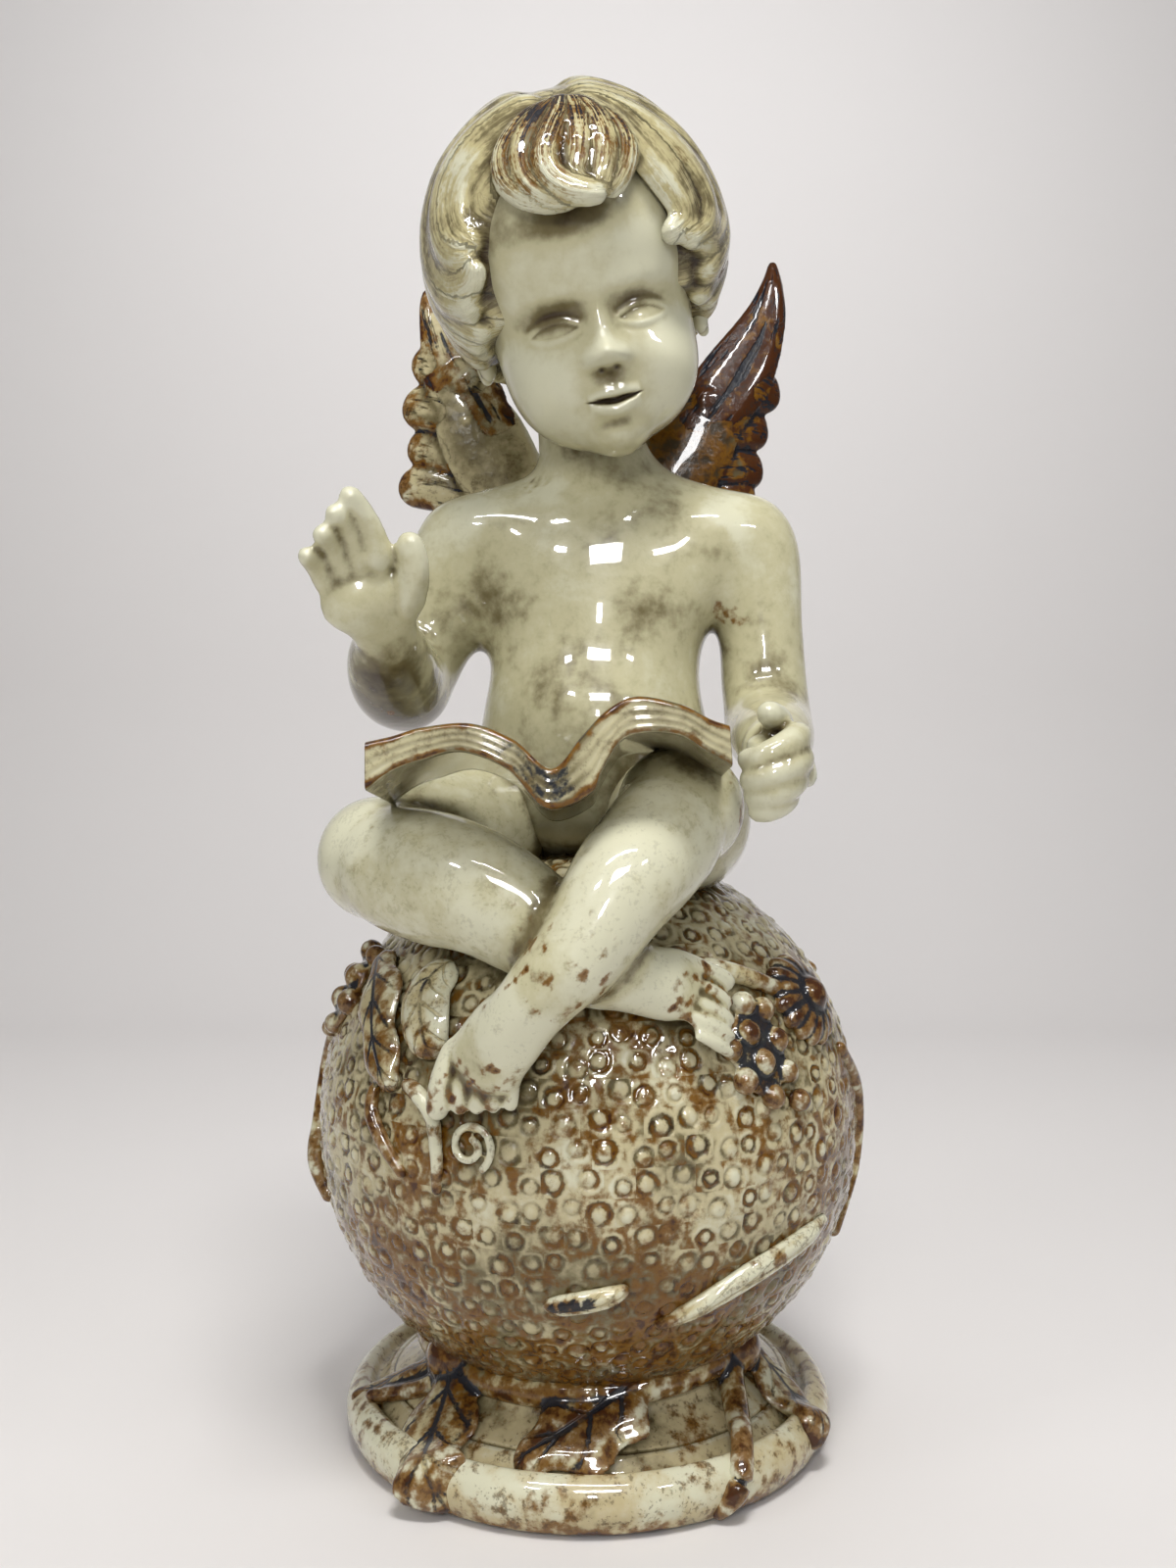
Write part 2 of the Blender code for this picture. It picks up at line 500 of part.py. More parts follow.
ORB_VINES = (
    ((-46, 14, 0, 3), (-45, 9, 2, 3.5), (-41, 4, 2, 3.5), (-36, -2, 0, 2.5)),
    ((-38, 15, 0, 3), (-34, 14, 2.5, 4), (-29.5, 10, 2.5, 3.5), (-28, 3, 2, 3), (-28.5, -4, 0, 2.5)),
    ((28, 38, 0, 3), (34, 34.5, 3, 4.5), (42, 31.5, 3, 4.5), (52, 28, 2, 4)),
    ((-86, 24, 1, 4), (-92, 10, 2, 4.5), (-90, -2, 3, 4.5), (-84, -12, 2, 4.5), (-72, -24, 1, 4)),
    ((68, 20, 1, 4), (82, 6, 2, 4.5), (84, -10, 2, 4.5), (76, -26, 1, 4)),
    ((95, 30, 1, 4), (120, 36, 2, 4.5), (140, 34, 2, 4.5), (152, 28, 1, 4)),
)
TENDRIL = (-22.3, 6.2, 3.2)  # azimuth, elevation and the radius of the coil in degrees
FOOT_LEAVES = (  # paths of (azimuth, reach, lift, half-width), with how many lobes
    (((-50, 0.98, 3, 7), (-42, 0.78, 4, 15), (-33, 0.50, 4, 16), (-26, 0.25, 3, 13), (-23, 0.06, 1, 6)), 3),
    (((-14, 0.99, 4, 9), (-9, 0.88, 5, 15), (-1, 0.82, 5, 15), (10, 0.90, 5, 10), (16, 0.97, 3, 4)), 3),
    (((80, 0.95, 3, 6), (82, 0.72, 4, 14), (78, 0.48, 4, 15), (72, 0.24, 3, 10), (70, 0.1, 1, 5)), 3),
    (((-57, 0.95, 2, 5), (-68, 0.75, 3, 9), (-74, 0.52, 3, 9), (-76, 0.3, 1, 4)), 2),
    (((160, 0.98, 3, 7), (168, 0.78, 4, 15), (176, 0.50, 4, 15), (182, 0.22, 2, 7)), 3),
)
FOOT_TWIGS = (
    ((58, 1.0, 3, 6), (52, 0.85, 4, 6.5), (44, 0.66, 4, 6), (37, 0.42, 4, 5.5), (32, 0.20, 3, 5.5), (28, 0.03, 1, 4)),
    ((-54, 1.0, 3, 5), (-57, 0.8, 3, 4.5), (-66, 0.62, 3, 4), (-70, 0.4, 2, 3)),
)
KNOBS = ((-54, 0.99, 13), (62, 1.0, 14), (-110, 1.0, 11), (130, 1.0, 12))  # azimuth, reach, radius


def lobed(rows, lobes, count=36):
    """The rows of a leaf, its half-width waving in as many lobes."""
    rows = curve_through(rows, count)
    along = np.linspace(0, 1, count)
    rows[:, 3] *= 1 - 0.28 * (lobes > 0) * (0.5 + 0.5 * np.cos(2 * np.pi * (lobes + 0.5) * along))
    return rows


def orb_shapes():
    """The orb with its grapes, rosette, leaves, vines and coiled tendril."""
    azimuth, elevation = np.meshgrid(np.linspace(0, 360, 120, endpoint=False), np.linspace(-88, 88, 90))
    shapes = [lofted(on_orb(azimuth, elevation))]
    for a, e, share in GRAPES:
        shapes.append(ball(on_orb(a, e, BERRY_DIAMETER * 0.16), np.full(3, BERRY_DIAMETER / 2 * share), None, 14))
    a, e, reach = ROSETTE
    middle = on_orb(a, e, 0.004)
    normal = direction(a, e)
    side = unit(np.cross(normal, (0, 0, 1)))
    shapes.append(ball(middle, (0.010, 0.010, 0.010)))
    for k in range(PETALS):
        turn = 2 * math.pi * k / PETALS
        along = math.cos(turn) * side + math.sin(turn) * np.cross(side, normal)
        petal = [(*(middle + along * reach * r / 1000 - normal * drop), w) for r, drop, w in
                 ((0.35, -0.001, 0.0034), (0.7, 0.001, 0.0042), (1.0, 0.005, 0.0028))]
        shapes.append(strap(petal, 0.0042, normal, 12, 10))
    for rows, lobes in ORB_LEAVES:
        rows = lobed(orb_rows(rows), lobes)
        depth = np.minimum(rows[:, 3], LEAF_THICKNESS / 2)
        shapes.append(swept(rows[:, :3], rows[:, 3], depth, rows[:, :3] - ORB_CENTRE, 16))
    for rows in ORB_VINES:
        rows = orb_rows(rows)
        rows[:, 3] *= VINE_THICKNESS / DRAWN_VINE
        shapes.append(limb(rows, 30, 12))
    a, e, coil = TENDRIL
    turn = np.linspace(-1.2, 2.6 * math.pi, 40)
    spread = coil * np.linspace(1.15, 0.25, 40)
    rows = np.column_stack([a + spread * np.cos(turn), e + spread * np.sin(turn), np.full(40, 1.5)])
    path = orb_rows(rows)
    size = np.full(40, VINE_THICKNESS * 0.3)
    shapes.append(swept(path, size, size, path - ORB_CENTRE, 10))
    return shapes


def foot_shapes():
    """The foot with its branch ring, leaves, twigs and knobs."""
    below = [(0.001, -UNDER_TABLE), (FOOT_PROFILE[0, 0], -UNDER_TABLE)]
    top = MOUND_HEIGHT + MOUND_OVERLAP
    above = [(RING_RADIUS * 0.6, top), (0.001, top)]
    shapes = [turned(below + FOOT_PROFILE.tolist() + above)]
    turn = np.linspace(0, 2 * np.pi, 97)[:-1]
    wave = 1 + 0.02 * np.sin(3 * turn + 1)
    reach, rise = RING_RADIUS * 1.02 * wave, BRANCH_WAVE * np.sin(2 * turn)
    ring = np.stack([reach * np.sin(turn), -reach * np.cos(turn), MOUND_HEIGHT + rise], -1)
    for half in (ring[:50], np.concatenate([ring[48:], ring[:2]])):
        size = np.full(len(half), BRANCH_THICKNESS / 2)
        shapes.append(swept(half, size, size, (0, 0, 1), 14))
    for rows, lobes in FOOT_LEAVES:
        rows = lobed(foot_rows(rows), lobes)
        depth = np.minimum(rows[:, 3], LEAF_THICKNESS / 2)
        outward = rows[:, :3] * [0.8, 0.8, 0] + [0, 0, FOOT_RADIUS]
        shapes.append(swept(rows[:, :3], rows[:, 3], depth, outward, 16))
    for rows in FOOT_TWIGS:
        shapes.append(limb(foot_rows(rows), 30, 12))
    for a, reach, radius in KNOBS:
        shapes.append(ball(foot_rows([(a, reach, 4)])[0], np.full(3, radius / 1000)))
    return shapes


# The solid

FINE_SPOTS = (  # frame, middle, radius and least weight
    (("head", 0, -62, -62), 62, 0.0),
    (("head", 0, -70, 20), 60, 0.3),
    (("figure", -104, -108, 130), 50, 0.2),
    (("figure", 82, -104, 45), 50, 0.2),
    (("figure", -46, -130, -84), 46, 0.2),
    (("figure", 52, -122, -66), 40, 0.2),
    (("figure", -95, 64, 245), 75, 0.3),
    (("figure", 98, 64, 255), 80, 0.3),
)


def all_shapes():
    shapes = foot_shapes() + orb_shapes() + leg_shapes() + body_shapes()
    return shapes + wing_shapes() + [book_shape()] + head_shapes()


def mesh_object(name, shapes):
    """One object holding the closed surfaces side by side."""
    points, faces, offset = [], [], 0
    for spots, corners in shapes:
        points.append(spots)
        faces += [[corner + offset for corner in face] for face in corners]
        offset += len(spots)
    mesh = bpy.data.meshes.new(name)
    mesh.from_pydata(np.concatenate(points).tolist(), [], faces)
    return linked(name, mesh)


def linked(name, mesh):
    made = bpy.data.objects.new(name, mesh)
    bpy.context.scene.collection.objects.link(made)
    return made


def evaluated_mesh(thing):
    """A new mesh with the object's modifiers worked out."""
    bpy.context.view_layer.update()
    graph = bpy.context.evaluated_depsgraph_get()
    return bpy.data.meshes.new_from_object(thing.evaluated_get(graph))


def mark_fine(thing):
    """A vertex group of low weight where the carving is fine, so that the thinning spares it."""
    spots = np.empty(len(thing.data.vertices) * 3)
    thing.data.vertices.foreach_get("co", spots)
    spots = spots.reshape(-1, 3)
    weight = np.ones(len(spots))
    for middle, reach, least in FINE_SPOTS:
        middle = on_head(middle[1:]) if middle[0] == "head" else figure_rows([middle[1:]])[0]
        away = np.linalg.norm(spots - middle, axis=1) / (reach * MM)
        weight = np.minimum(weight, least + (1 - least) * np.clip(away * 2 - 1, 0, 1))
    group = thing.vertex_groups.new(name="coarse")
    band = np.round(weight * WEIGHT_BANDS).astype(int)
    for k in range(1, WEIGHT_BANDS + 1):
        group.add(np.flatnonzero(band == k).tolist(), k / WEIGHT_BANDS, "REPLACE")
    return group.name


def glaze():
    material = bpy.data.materials.new("cream_glaze")
    material.use_nodes = True
    shader = material.node_tree.nodes["Principled BSDF"]
    shader.inputs["Base Color"].default_value = CREAM_GLAZE
    shader.inputs["Roughness"].default_value = GLAZE_ROUGHNESS
    return material


def build():
    for thing in list(bpy.data.objects):
        bpy.data.objects.remove(thing)
    drawn = mesh_object("drawn", all_shapes())
    fuse = drawn.modifiers.new("fuse", "REMESH")
    fuse.mode = "VOXEL"
    fuse.voxel_size = FUSE_VOXEL
    soften = drawn.modifiers.new("soften", "SMOOTH")
    soften.factor = 0.5
    soften.iterations = SOFTEN_STEPS
    statue = linked("cherub_statue", evaluated_mesh(drawn))
    bpy.data.objects.remove(drawn)
    statue.data.materials.append(glaze())
    statue.data.shade_smooth()

    thin = statue.modifiers.new("thin", "DECIMATE")
    thin.vertex_group = mark_fine(statue)
    thin.vertex_group_factor = SPARING
    statue.data.calc_loop_triangles()
    thin.ratio = TRIANGLES / len(statue.data.loop_triangles)

    reach = FOOT_RADIUS * 1.5
    corners = [(x, y, z) for z in (-2 * UNDER_TABLE, 0) for y in (-reach, reach) for x in (-reach, reach)]
    sides = [(0, 2, 3, 1), (4, 5, 7, 6), (0, 1, 5, 4), (1, 3, 7, 5), (3, 2, 6, 7), (2, 0, 4, 6)]
    table = mesh_object("table_cutter", [(np.array(corners), [list(side) for side in sides])])
    table.hide_render = True
    table.display_type = "WIRE"
    cut = statue.modifiers.new("cut_flat", "BOOLEAN")
    cut.operation = "DIFFERENCE"
    cut.solver = "EXACT"
    cut.object = table


build()
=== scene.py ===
import math

import bpy
import numpy as np
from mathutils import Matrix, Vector


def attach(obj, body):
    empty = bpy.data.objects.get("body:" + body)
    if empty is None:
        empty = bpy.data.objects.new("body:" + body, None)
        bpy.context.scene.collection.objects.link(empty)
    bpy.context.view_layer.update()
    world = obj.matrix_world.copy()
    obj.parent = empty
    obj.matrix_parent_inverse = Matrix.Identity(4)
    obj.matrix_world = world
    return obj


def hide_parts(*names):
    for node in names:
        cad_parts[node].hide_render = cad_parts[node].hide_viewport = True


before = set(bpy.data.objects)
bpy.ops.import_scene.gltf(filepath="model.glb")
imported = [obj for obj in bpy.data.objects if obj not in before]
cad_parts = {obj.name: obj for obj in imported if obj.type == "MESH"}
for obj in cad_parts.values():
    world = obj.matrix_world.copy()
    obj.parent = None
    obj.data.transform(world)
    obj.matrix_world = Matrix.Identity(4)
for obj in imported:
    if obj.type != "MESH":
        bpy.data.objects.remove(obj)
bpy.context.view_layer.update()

# The statue: metres, +Z up, it faces -Y, the origin is the middle of the foot's underside.
# The figure is drawn in millimetres from its seat on top of the orb. Left and right are the viewer's.

statue = {
    "footRadius": 0.1235, "moundHeight": 0.047, "orbRadius": 0.137, "orbSeat": 0.022, "branch": 0.0075,
    "berry": 0.006,
}
orbCentre = np.array([0, 0, statue["orbSeat"] + statue["orbRadius"]])
seat = orbCentre + [0, 0, statue["orbRadius"] - 0.006]
branchRadius = math.sqrt(statue["orbRadius"] ** 2 - (orbCentre[2] - statue["moundHeight"]) ** 2)
mm = 0.001


# Curves and closed surfaces

# Each vector divided by its length
def unit(v):
    return v / np.maximum(np.linalg.norm(v, axis=-1, keepdims=True), 1e-12)


# Catmull-Rom curve through rows of any width, its samples crowded towards both ends
def curveThrough(rows, count):
    rows = np.asarray(rows, float)
    padded = np.concatenate([[2 * rows[0] - rows[1]], rows, [2 * rows[-1] - rows[-2]]])
    along = (1 - np.cos(np.pi * np.linspace(0, 1, count))) / 2 * (len(rows) - 1)
    first = np.minimum(along.astype(int), len(rows) - 2)
    t = (along - first)[:, None]
    a, b, c, d = (padded[first + k] for k in range(4))
    return 0.5 * (2 * b + (c - a) * t + (2 * a - 5 * b + 4 * c - d) * t**2 + (3 * b - a - 3 * c + d) * t**3)


# A grid of points, rows of closed rings, as one closed surface: quads between rings and a fan over each end
def closedGrid(rings):
    count, sides, _ = rings.shape
    points = np.concatenate([rings.reshape(-1, 3), [rings[0].mean(0), rings[-1].mean(0)]])
    ring, side = np.meshgrid(np.arange(count - 1), np.arange(sides), indexing="ij")
    here, there = ring * sides + side, ring * sides + (side + 1) % sides
    quads = np.stack([here, there, there + sides, here + sides], -1).reshape(-1, 4)
    side = np.arange(sides)
    last = (count - 1) * sides
    start = np.stack([np.full(sides, count * sides), (side + 1) % sides, side], -1)
    end = np.stack([np.full(sides, count * sides + 1), last + side, last + (side + 1) % sides], -1)
    return points, quads, np.concatenate([start, end])


# An ellipse of half-width and half-depth carried along a path, its depth along normal, both ends rounded.
# flutes = (number, depth) waves the ellipse's size round its turn, which leaves long grooves.
def swept(path, width, depth, normal, sides=16, flutes=(0, 0)):
    tangent = unit(np.gradient(path, axis=0))
    across = unit(np.cross(tangent, np.broadcast_to(normal, path.shape)))
    out = np.cross(across, tangent)
    run = np.concatenate([[0], np.cumsum(np.linalg.norm(np.diff(path, axis=0), axis=1))])
    rounding = np.ones(len(path))
    for travelled, reach in ((run, width[2]), (run[-1] - run, width[-3])):
        left = 1 - np.clip(travelled / min(reach, run[-1] / 2), 0, 1)
        rounding *= np.sqrt(np.clip(1 - left**2, 0.0004, 1))
    turn = np.linspace(0, 2 * np.pi, sides, endpoint=False)
    size = 1 + flutes[1] * np.cos(flutes[0] * turn)
    spread = size * np.cos(turn) * (width * rounding)[:, None]
    lift = size * np.sin(turn) * (depth * rounding)[:, None]
    return closedGrid(path[:, None] + spread[..., None] * across[:, None] + lift[..., None] * out[:, None])


# A form through rows of (x, y, z, half-width), its half-depth the same but for no more than depth
def flattened(rows, depth, normal, sides, flutes=(0, 0)):
    return swept(rows[:, :3], rows[:, 3], np.minimum(rows[:, 3], depth), normal, sides, flutes)


# A round limb on the curve through rows of (x, y, z, radius); no limb runs the way of this normal
def limb(rows, count, sides):
    return flattened(curveThrough(rows, count), np.inf, (0.31, 0.52, 0.80), sides)


# A flattened form on the curve through rows of (x, y, z, half-width)
def strap(rows, depth, normal, count, sides, flutes=(0, 0)):
    return flattened(curveThrough(rows, count), depth, normal, sides, flutes)


# An ellipsoid: rings of latitude, turned by a rotation matrix if there is one
def ball(centre, radii, sides=24, turn=None):
    angle = np.linspace(0.06, np.pi - 0.06, sides // 2 + 1)[:, None]
    around = np.linspace(0, 2 * np.pi, sides, endpoint=False)[None]
    rings = [np.sin(angle) * np.cos(around), np.sin(angle) * np.sin(around), -np.cos(angle) + 0 * around]
    rings = np.stack(rings, -1) * np.asarray(radii, float)
    return closedGrid(np.asarray(centre, float) + (rings if turn is None else rings @ turn.T))


# Rows of (radius, height) carried round Z, bottom to top
def turned(profile, sides):
    profile = np.asarray(profile, float)
    turn = np.linspace(0, 2 * np.pi, sides, endpoint=False)
    radius, height = profile[:, :1], profile[:, 1:]
    return closedGrid(np.stack([radius * np.cos(turn), radius * np.sin(turn), height + 0 * turn], -1))


# Places on the figure, the head, the orb and the foot. Placed rows are (x, y, z, sizes...) in metres.

# From rows of (x, y, z, sizes...) in millimetres from the seat
def figureRows(rows):
    rows = np.asarray(rows, float) * mm
    rows[:, :3] += seat
    return rows


# Rotation matrix about axis 0, 1 or 2
def rotation(axis, degrees):
    c, s = math.cos(math.radians(degrees)), math.sin(math.radians(degrees))
    i, j = [(1, 2), (2, 0), (0, 1)][axis]
    made = np.eye(3)
    made[i, i] = made[j, j] = c
    made[i, j], made[j, i] = -s, s
    return made


headMiddle = np.array([-8, -31, 307]) * mm
headTurn = rotation(1, -13) @ rotation(0, 15)  # leaned to the left shoulder, then bowed


# World points of places in millimetres from the middle of the skull, in the head's own frame
def onHead(places):
    return seat + headMiddle + np.asarray(places, float) @ headTurn.T * mm


# From rows of (x, y, z, sizes...) in millimetres from the middle of the skull
def headRows(rows):
    rows = np.asarray(rows, float)
    return np.column_stack([onHead(rows[:, :3]), rows[:, 3:] * mm])


# Unit vector from two angles in degrees; azimuth 0 faces the front and grows to the right
def direction(azimuth, elevation):
    a, e = np.broadcast_arrays(np.radians(azimuth), np.radians(elevation))
    return np.stack([np.sin(a) * np.cos(e), -np.cos(a) * np.cos(e), np.sin(e)], -1)


# Points of the orb: its middle plus a direction times its radius and lift
def onOrb(azimuth, elevation, lift=0.0):
    return orbCentre + direction(azimuth, elevation) * (statue["orbRadius"] + lift)


# From rows of (azimuth, elevation, lift, sizes...) on the orb, in degrees and millimetres
def orbRows(rows):
    rows = np.asarray(rows, float)
    return np.column_stack([onOrb(rows[:, 0], rows[:, 1], rows[:, 2:3] * mm), rows[:, 3:] * mm])


footProfile = np.array([  # outwards from the table, over the rim, down the groove and up the mound
    (0.1150, 0), (0.1200, 0.003), (statue["footRadius"], 0.012), (0.1220, 0.0199), (0.1165, 0.0255),
    (0.1123, 0.0250), (0.1080, 0.0205), (0.1020, 0.0260), (branchRadius + 0.007, 0.036),
    (branchRadius, statue["moundHeight"]),
])


# From rows of (azimuth, reach, lift, sizes...) on the foot; reach runs 0 to 1 from the table to the orb
def footRows(rows):
    rows = np.asarray(rows, float)
    run = np.concatenate([[0], np.cumsum(np.linalg.norm(np.diff(footProfile, axis=0), axis=1))])
    radius, height = (np.interp(rows[:, 1] * run[-1], run, footProfile[:, k]) for k in range(2))
    spots = direction(rows[:, 0], 0) * radius[:, None]
    spots[:, 2] = height
    rise = unit(np.column_stack([spots[:, :2] * 0.7, np.full(len(rows), statue["footRadius"])]))
    return np.column_stack([spots + rise * rows[:, 2:3] * mm, rows[:, 3:] * mm])


# Meshes, their hollows and their neighbours

# One mesh from (points, quads, triangles) shapes
def meshFrom(name, shapes):
    points, quads, fans, offset = [], [], [], 0
    for spots, four, three in shapes:
        points.append(spots)
        quads.append(four + offset)
        fans.append(three + offset)
        offset += len(spots)
    points, quads, fans = (np.concatenate(part) for part in (points, quads, fans))
    mesh = bpy.data.meshes.new(name)
    mesh.vertices.add(len(points))
    mesh.vertices.foreach_set("co", points.astype(np.float32).ravel())
    mesh.loops.add(quads.size + fans.size)
    mesh.loops.foreach_set("vertex_index", np.concatenate([quads.ravel(), fans.ravel()]).astype(np.int32))
    mesh.polygons.add(len(quads) + len(fans))
    starts = np.concatenate([np.arange(len(quads)) * 4, quads.size + np.arange(len(fans)) * 3])
    mesh.polygons.foreach_set("loop_start", starts.astype(np.int32))
    mesh.update(calc_edges=True)
    mesh.validate()
    mesh.shade_smooth()
    return mesh


def pieceFrom(name, data):
    made = bpy.data.objects.new(name, data)
    bpy.context.scene.collection.objects.link(made)
    return made


# Closed shapes melted into one skin, as the glaze does: a voxel remesh, then a smoothing of its steps
def fused(name, shapes, voxel, smoothing):
    drawn = pieceFrom(name + "_drawn", meshFrom(name + "_drawn", shapes))
    melt = drawn.modifiers.new("melt", "REMESH")
    melt.mode = "VOXEL"
    melt.voxel_size = voxel
    ease = drawn.modifiers.new("ease", "SMOOTH")
    ease.factor = 0.5
    ease.iterations = smoothing
    bpy.context.view_layer.update()
    mesh = bpy.data.meshes.new_from_object(drawn.evaluated_get(bpy.context.evaluated_depsgraph_get()))
    bpy.data.objects.remove(drawn)
    mesh.name = name
    mesh.shade_smooth()
    return pieceFrom(name, mesh)


def pointsOf(mesh):
    spots = np.empty(len(mesh.vertices) * 3, np.float32)
    mesh.vertices.foreach_get("co", spots)
    return spots.reshape(-1, 3).astype(float)


def normalsOf(mesh):
    out = np.empty(len(mesh.vertices) * 3, np.float32)
    mesh.vertex_normals.foreach_get("vector", out)
    return out.reshape(-1, 3).astype(float)


def edgesOf(mesh):
    ends = np.empty(len(mesh.edges) * 2, np.int32)
    mesh.edges.foreach_get("vertices", ends)
    return ends.reshape(-1, 2)


def movePoints(mesh, spots):
    mesh.vertices.foreach_set("co", np.asarray(spots, np.float32).ravel())
    mesh.update()


# Seams between the joined forms eased away where weight is 1. What the easing took off the broad form is eased
# twice as long and put back, so that limbs keep their girth.
def softened(mesh, weight, rounds):
    ends, start = edgesOf(mesh), pointsOf(mesh)
    soft = eased(start, ends, rounds)
    lost = eased(start - soft, ends, rounds * 2)
    movePoints(mesh, start + weight[:, None] * (soft + lost - start))


# 0 near the given (x, y, z, reach) places and 1 away from them, eased in between
def awayFrom(spots, places):
    made = np.ones(len(spots))
    for x, y, z, reach in places:
        gap = np.linalg.norm(spots - [x, y, z], axis=1) / reach
        made = np.minimum(made, np.clip((gap - 1) / 0.35, 0, 1))
    return made * made * (3 - 2 * made)


# Each value becomes half itself and half the mean of its neighbours along the edges, as many rounds as asked
def eased(values, ends, rounds):
    count = len(values)
    degree = np.maximum(np.bincount(ends.ravel(), minlength=count), 1)
    columns = [values[:, k] for k in range(values.shape[1])]
    for _ in range(rounds):
        columns = [
            0.5 * c + 0.5 * (np.bincount(ends[:, 0], c[ends[:, 1]], count)
                             + np.bincount(ends[:, 1], c[ends[:, 0]], count)) / degree
            for c in columns
        ]
    return np.stack(columns, -1)


# How far in millimetres a point lies under the eased surface: positive in hollows, negative on ridges
def hollows(mesh, rounds):
    spots, out, ends = pointsOf(mesh), normalsOf(mesh), edgesOf(mesh)
    made, done = [], 0
    soft = spots
    for upTo in rounds:
        soft = eased(soft, ends, upTo - done)
        done = upTo
        made.append(((soft - spots) * out).sum(1) / mm)
    return made


# Share of the neighbourhood that is solid, 0.5 on a flat: each triangle's area times its normal is dropped into
# a grid, and the field whose slope that is comes from Fourier space, blurred by a few millimetres.
def crowdingField(solid, cell=0.0035, blur=0.0065):
    mesh = solid.data
    mesh.calc_loop_triangles()
    corners = np.empty(len(mesh.loop_triangles) * 3, np.int32)
    mesh.loop_triangles.foreach_get("vertices", corners)
    spots = pointsOf(mesh)[corners.reshape(-1, 3)]
    lean = np.cross(spots[:, 1] - spots[:, 0], spots[:, 2] - spots[:, 0]) / 2
    u, v = np.meshgrid(np.arange(6), np.arange(6))
    keep = u + v < 6
    u, v = (u[keep] + 1 / 3) / 6, (v[keep] + 1 / 3) / 6
    share = np.stack([1 - u - v, u, v], -1)
    drops = np.einsum("sk,tkc->tsc", share, spots).reshape(-1, 3)
    lean = np.repeat(lean / len(share), len(share), axis=0)
    low = drops.min(0) - 0.05
    shape = [int(2 ** math.ceil(math.log2(s / cell))) for s in drops.max(0) + 0.05 - low]
    index = np.clip(((drops - low) / cell).round().astype(int), 0, np.array(shape) - 1)
    flat = np.ravel_multi_index(index.T, shape)
    total = np.prod(shape)
    waves = np.meshgrid(*[2 * np.pi * np.fft.fftfreq(n, cell) for n in shape], indexing="ij")
    strength = sum(w**2 for w in waves)
    strength[0, 0, 0] = 1
    field = 0
    for k in range(3):
        flux = np.bincount(flat, lean[:, k], total).reshape(shape) / cell**3
        field = field + 1j * waves[k] * np.fft.fftn(flux)
    field = np.real(np.fft.ifftn(field / strength * np.exp(-strength * blur**2 / 2)))
    field -= field[:3, :3, :3].mean()

    def crowding(spots):
        place = np.clip((spots - low) / cell, 0, np.array(shape) - 1.001)
        base = place.astype(int)
        part = place - base
        found = 0
        for corner in range(8):
            step = np.array([corner & 1, corner >> 1 & 1, corner >> 2])
            weight = np.prod(np.where(step, part, 1 - part), axis=1)
            found = found + weight * field[tuple((base + step).T)]
        return found

    return crowding


# How crowded each place is; the glaze is darkened by it as painted shade between parts
crowding = crowdingField(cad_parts["cherub_statue"])
print("crowding field ready")


# For each point: the nearest path, how far along it (0-1) and how far to its side in half-widths
def lieAlong(spots, paths, outwards):
    best = np.full(len(spots), np.inf)
    which = np.zeros(len(spots), int)
    along, aside = np.zeros(len(spots)), np.zeros(len(spots))
    for k, rows in enumerate(paths):
        tangent = unit(np.gradient(rows[:, :3], axis=0))
        across = unit(np.cross(tangent, outwards[k]))
        gap = ((spots[:, None] - rows[None, :, :3]) ** 2).sum(-1) / np.maximum(rows[:, 3], 1.5 * mm) ** 2
        near = gap.argmin(1)
        nearest = gap[np.arange(len(spots)), near]
        better = nearest < best
        best[better] = nearest[better]
        which[better] = k
        away = spots - rows[near, :3]
        step = np.linalg.norm(rows[-1, :3] - rows[0, :3]) / len(rows)
        ahead = (away * tangent[near]).sum(1) / max(step, 1e-6)
        along[better] = ((near + np.clip(ahead, -1, 1)) / (len(rows) - 1))[better]
        aside[better] = ((away * across[near]).sum(1) / np.maximum(rows[near, 3], 1.5 * mm))[better]
    return which, along, aside, np.sqrt(best)


# A smooth wobble between -1 and 1 from sums of slanted sines; size is its wavelength in metres
def wobble(spots, size, seed):
    made = 0
    for k in range(5):
        angle = seed * 1.7 + k * 2.399
        tilt = math.sin(seed * 0.9 + k * 1.3)
        slant = unit(np.array([math.cos(angle), math.sin(angle), tilt]))
        wave = 2 * np.pi / size * (0.7 + 0.22 * k)
        bend = 1.5 * np.sin(spots @ slant[::-1] * wave * 0.6)
        made = made + np.sin(spots @ slant * wave + k * 1.9 + seed + bend)
    return made / 5


# A number for each point under each name, for the materials to read
def put(mesh, **values):
    for name, numbers in values.items():
        layer = mesh.attributes.new(name, "FLOAT", "POINT")
        layer.data.foreach_set("value", np.asarray(numbers, np.float32).ravel())


# Soft spots: 1 in the middle of each (x, y, z, reach), fading outwards with a ragged edge
def blotches(spots, places, ragged, seed=3):
    made = np.zeros(len(spots))
    for x, y, z, reach in places:
        away = np.linalg.norm(spots - [x, y, z], axis=1) / reach + ragged * wobble(spots, reach * 0.9, seed)
        made = np.maximum(made, np.clip(1.6 - 1.6 * away, 0, 1))
    return made


# Glaze: wells of olive and brown in the hollows, thin and pale on the ridges, with painted shade where forms
# close in

glaze = {
    "cream": (0.50, 0.472, 0.305, 1), "milk": (0.62, 0.61, 0.46, 1), "olive": (0.155, 0.128, 0.062, 1),
    "umber": (0.045, 0.028, 0.012, 1), "ochre": (0.17, 0.072, 0.005, 1), "rust": (0.052, 0.014, 0.003, 1),
    "ink": (0.010, 0.014, 0.022, 1), "roughness": 0.25, "specular": 0.1, "coat": 0.9, "coatRoughness": 0.03,
    "coatIor": 1.38,
}


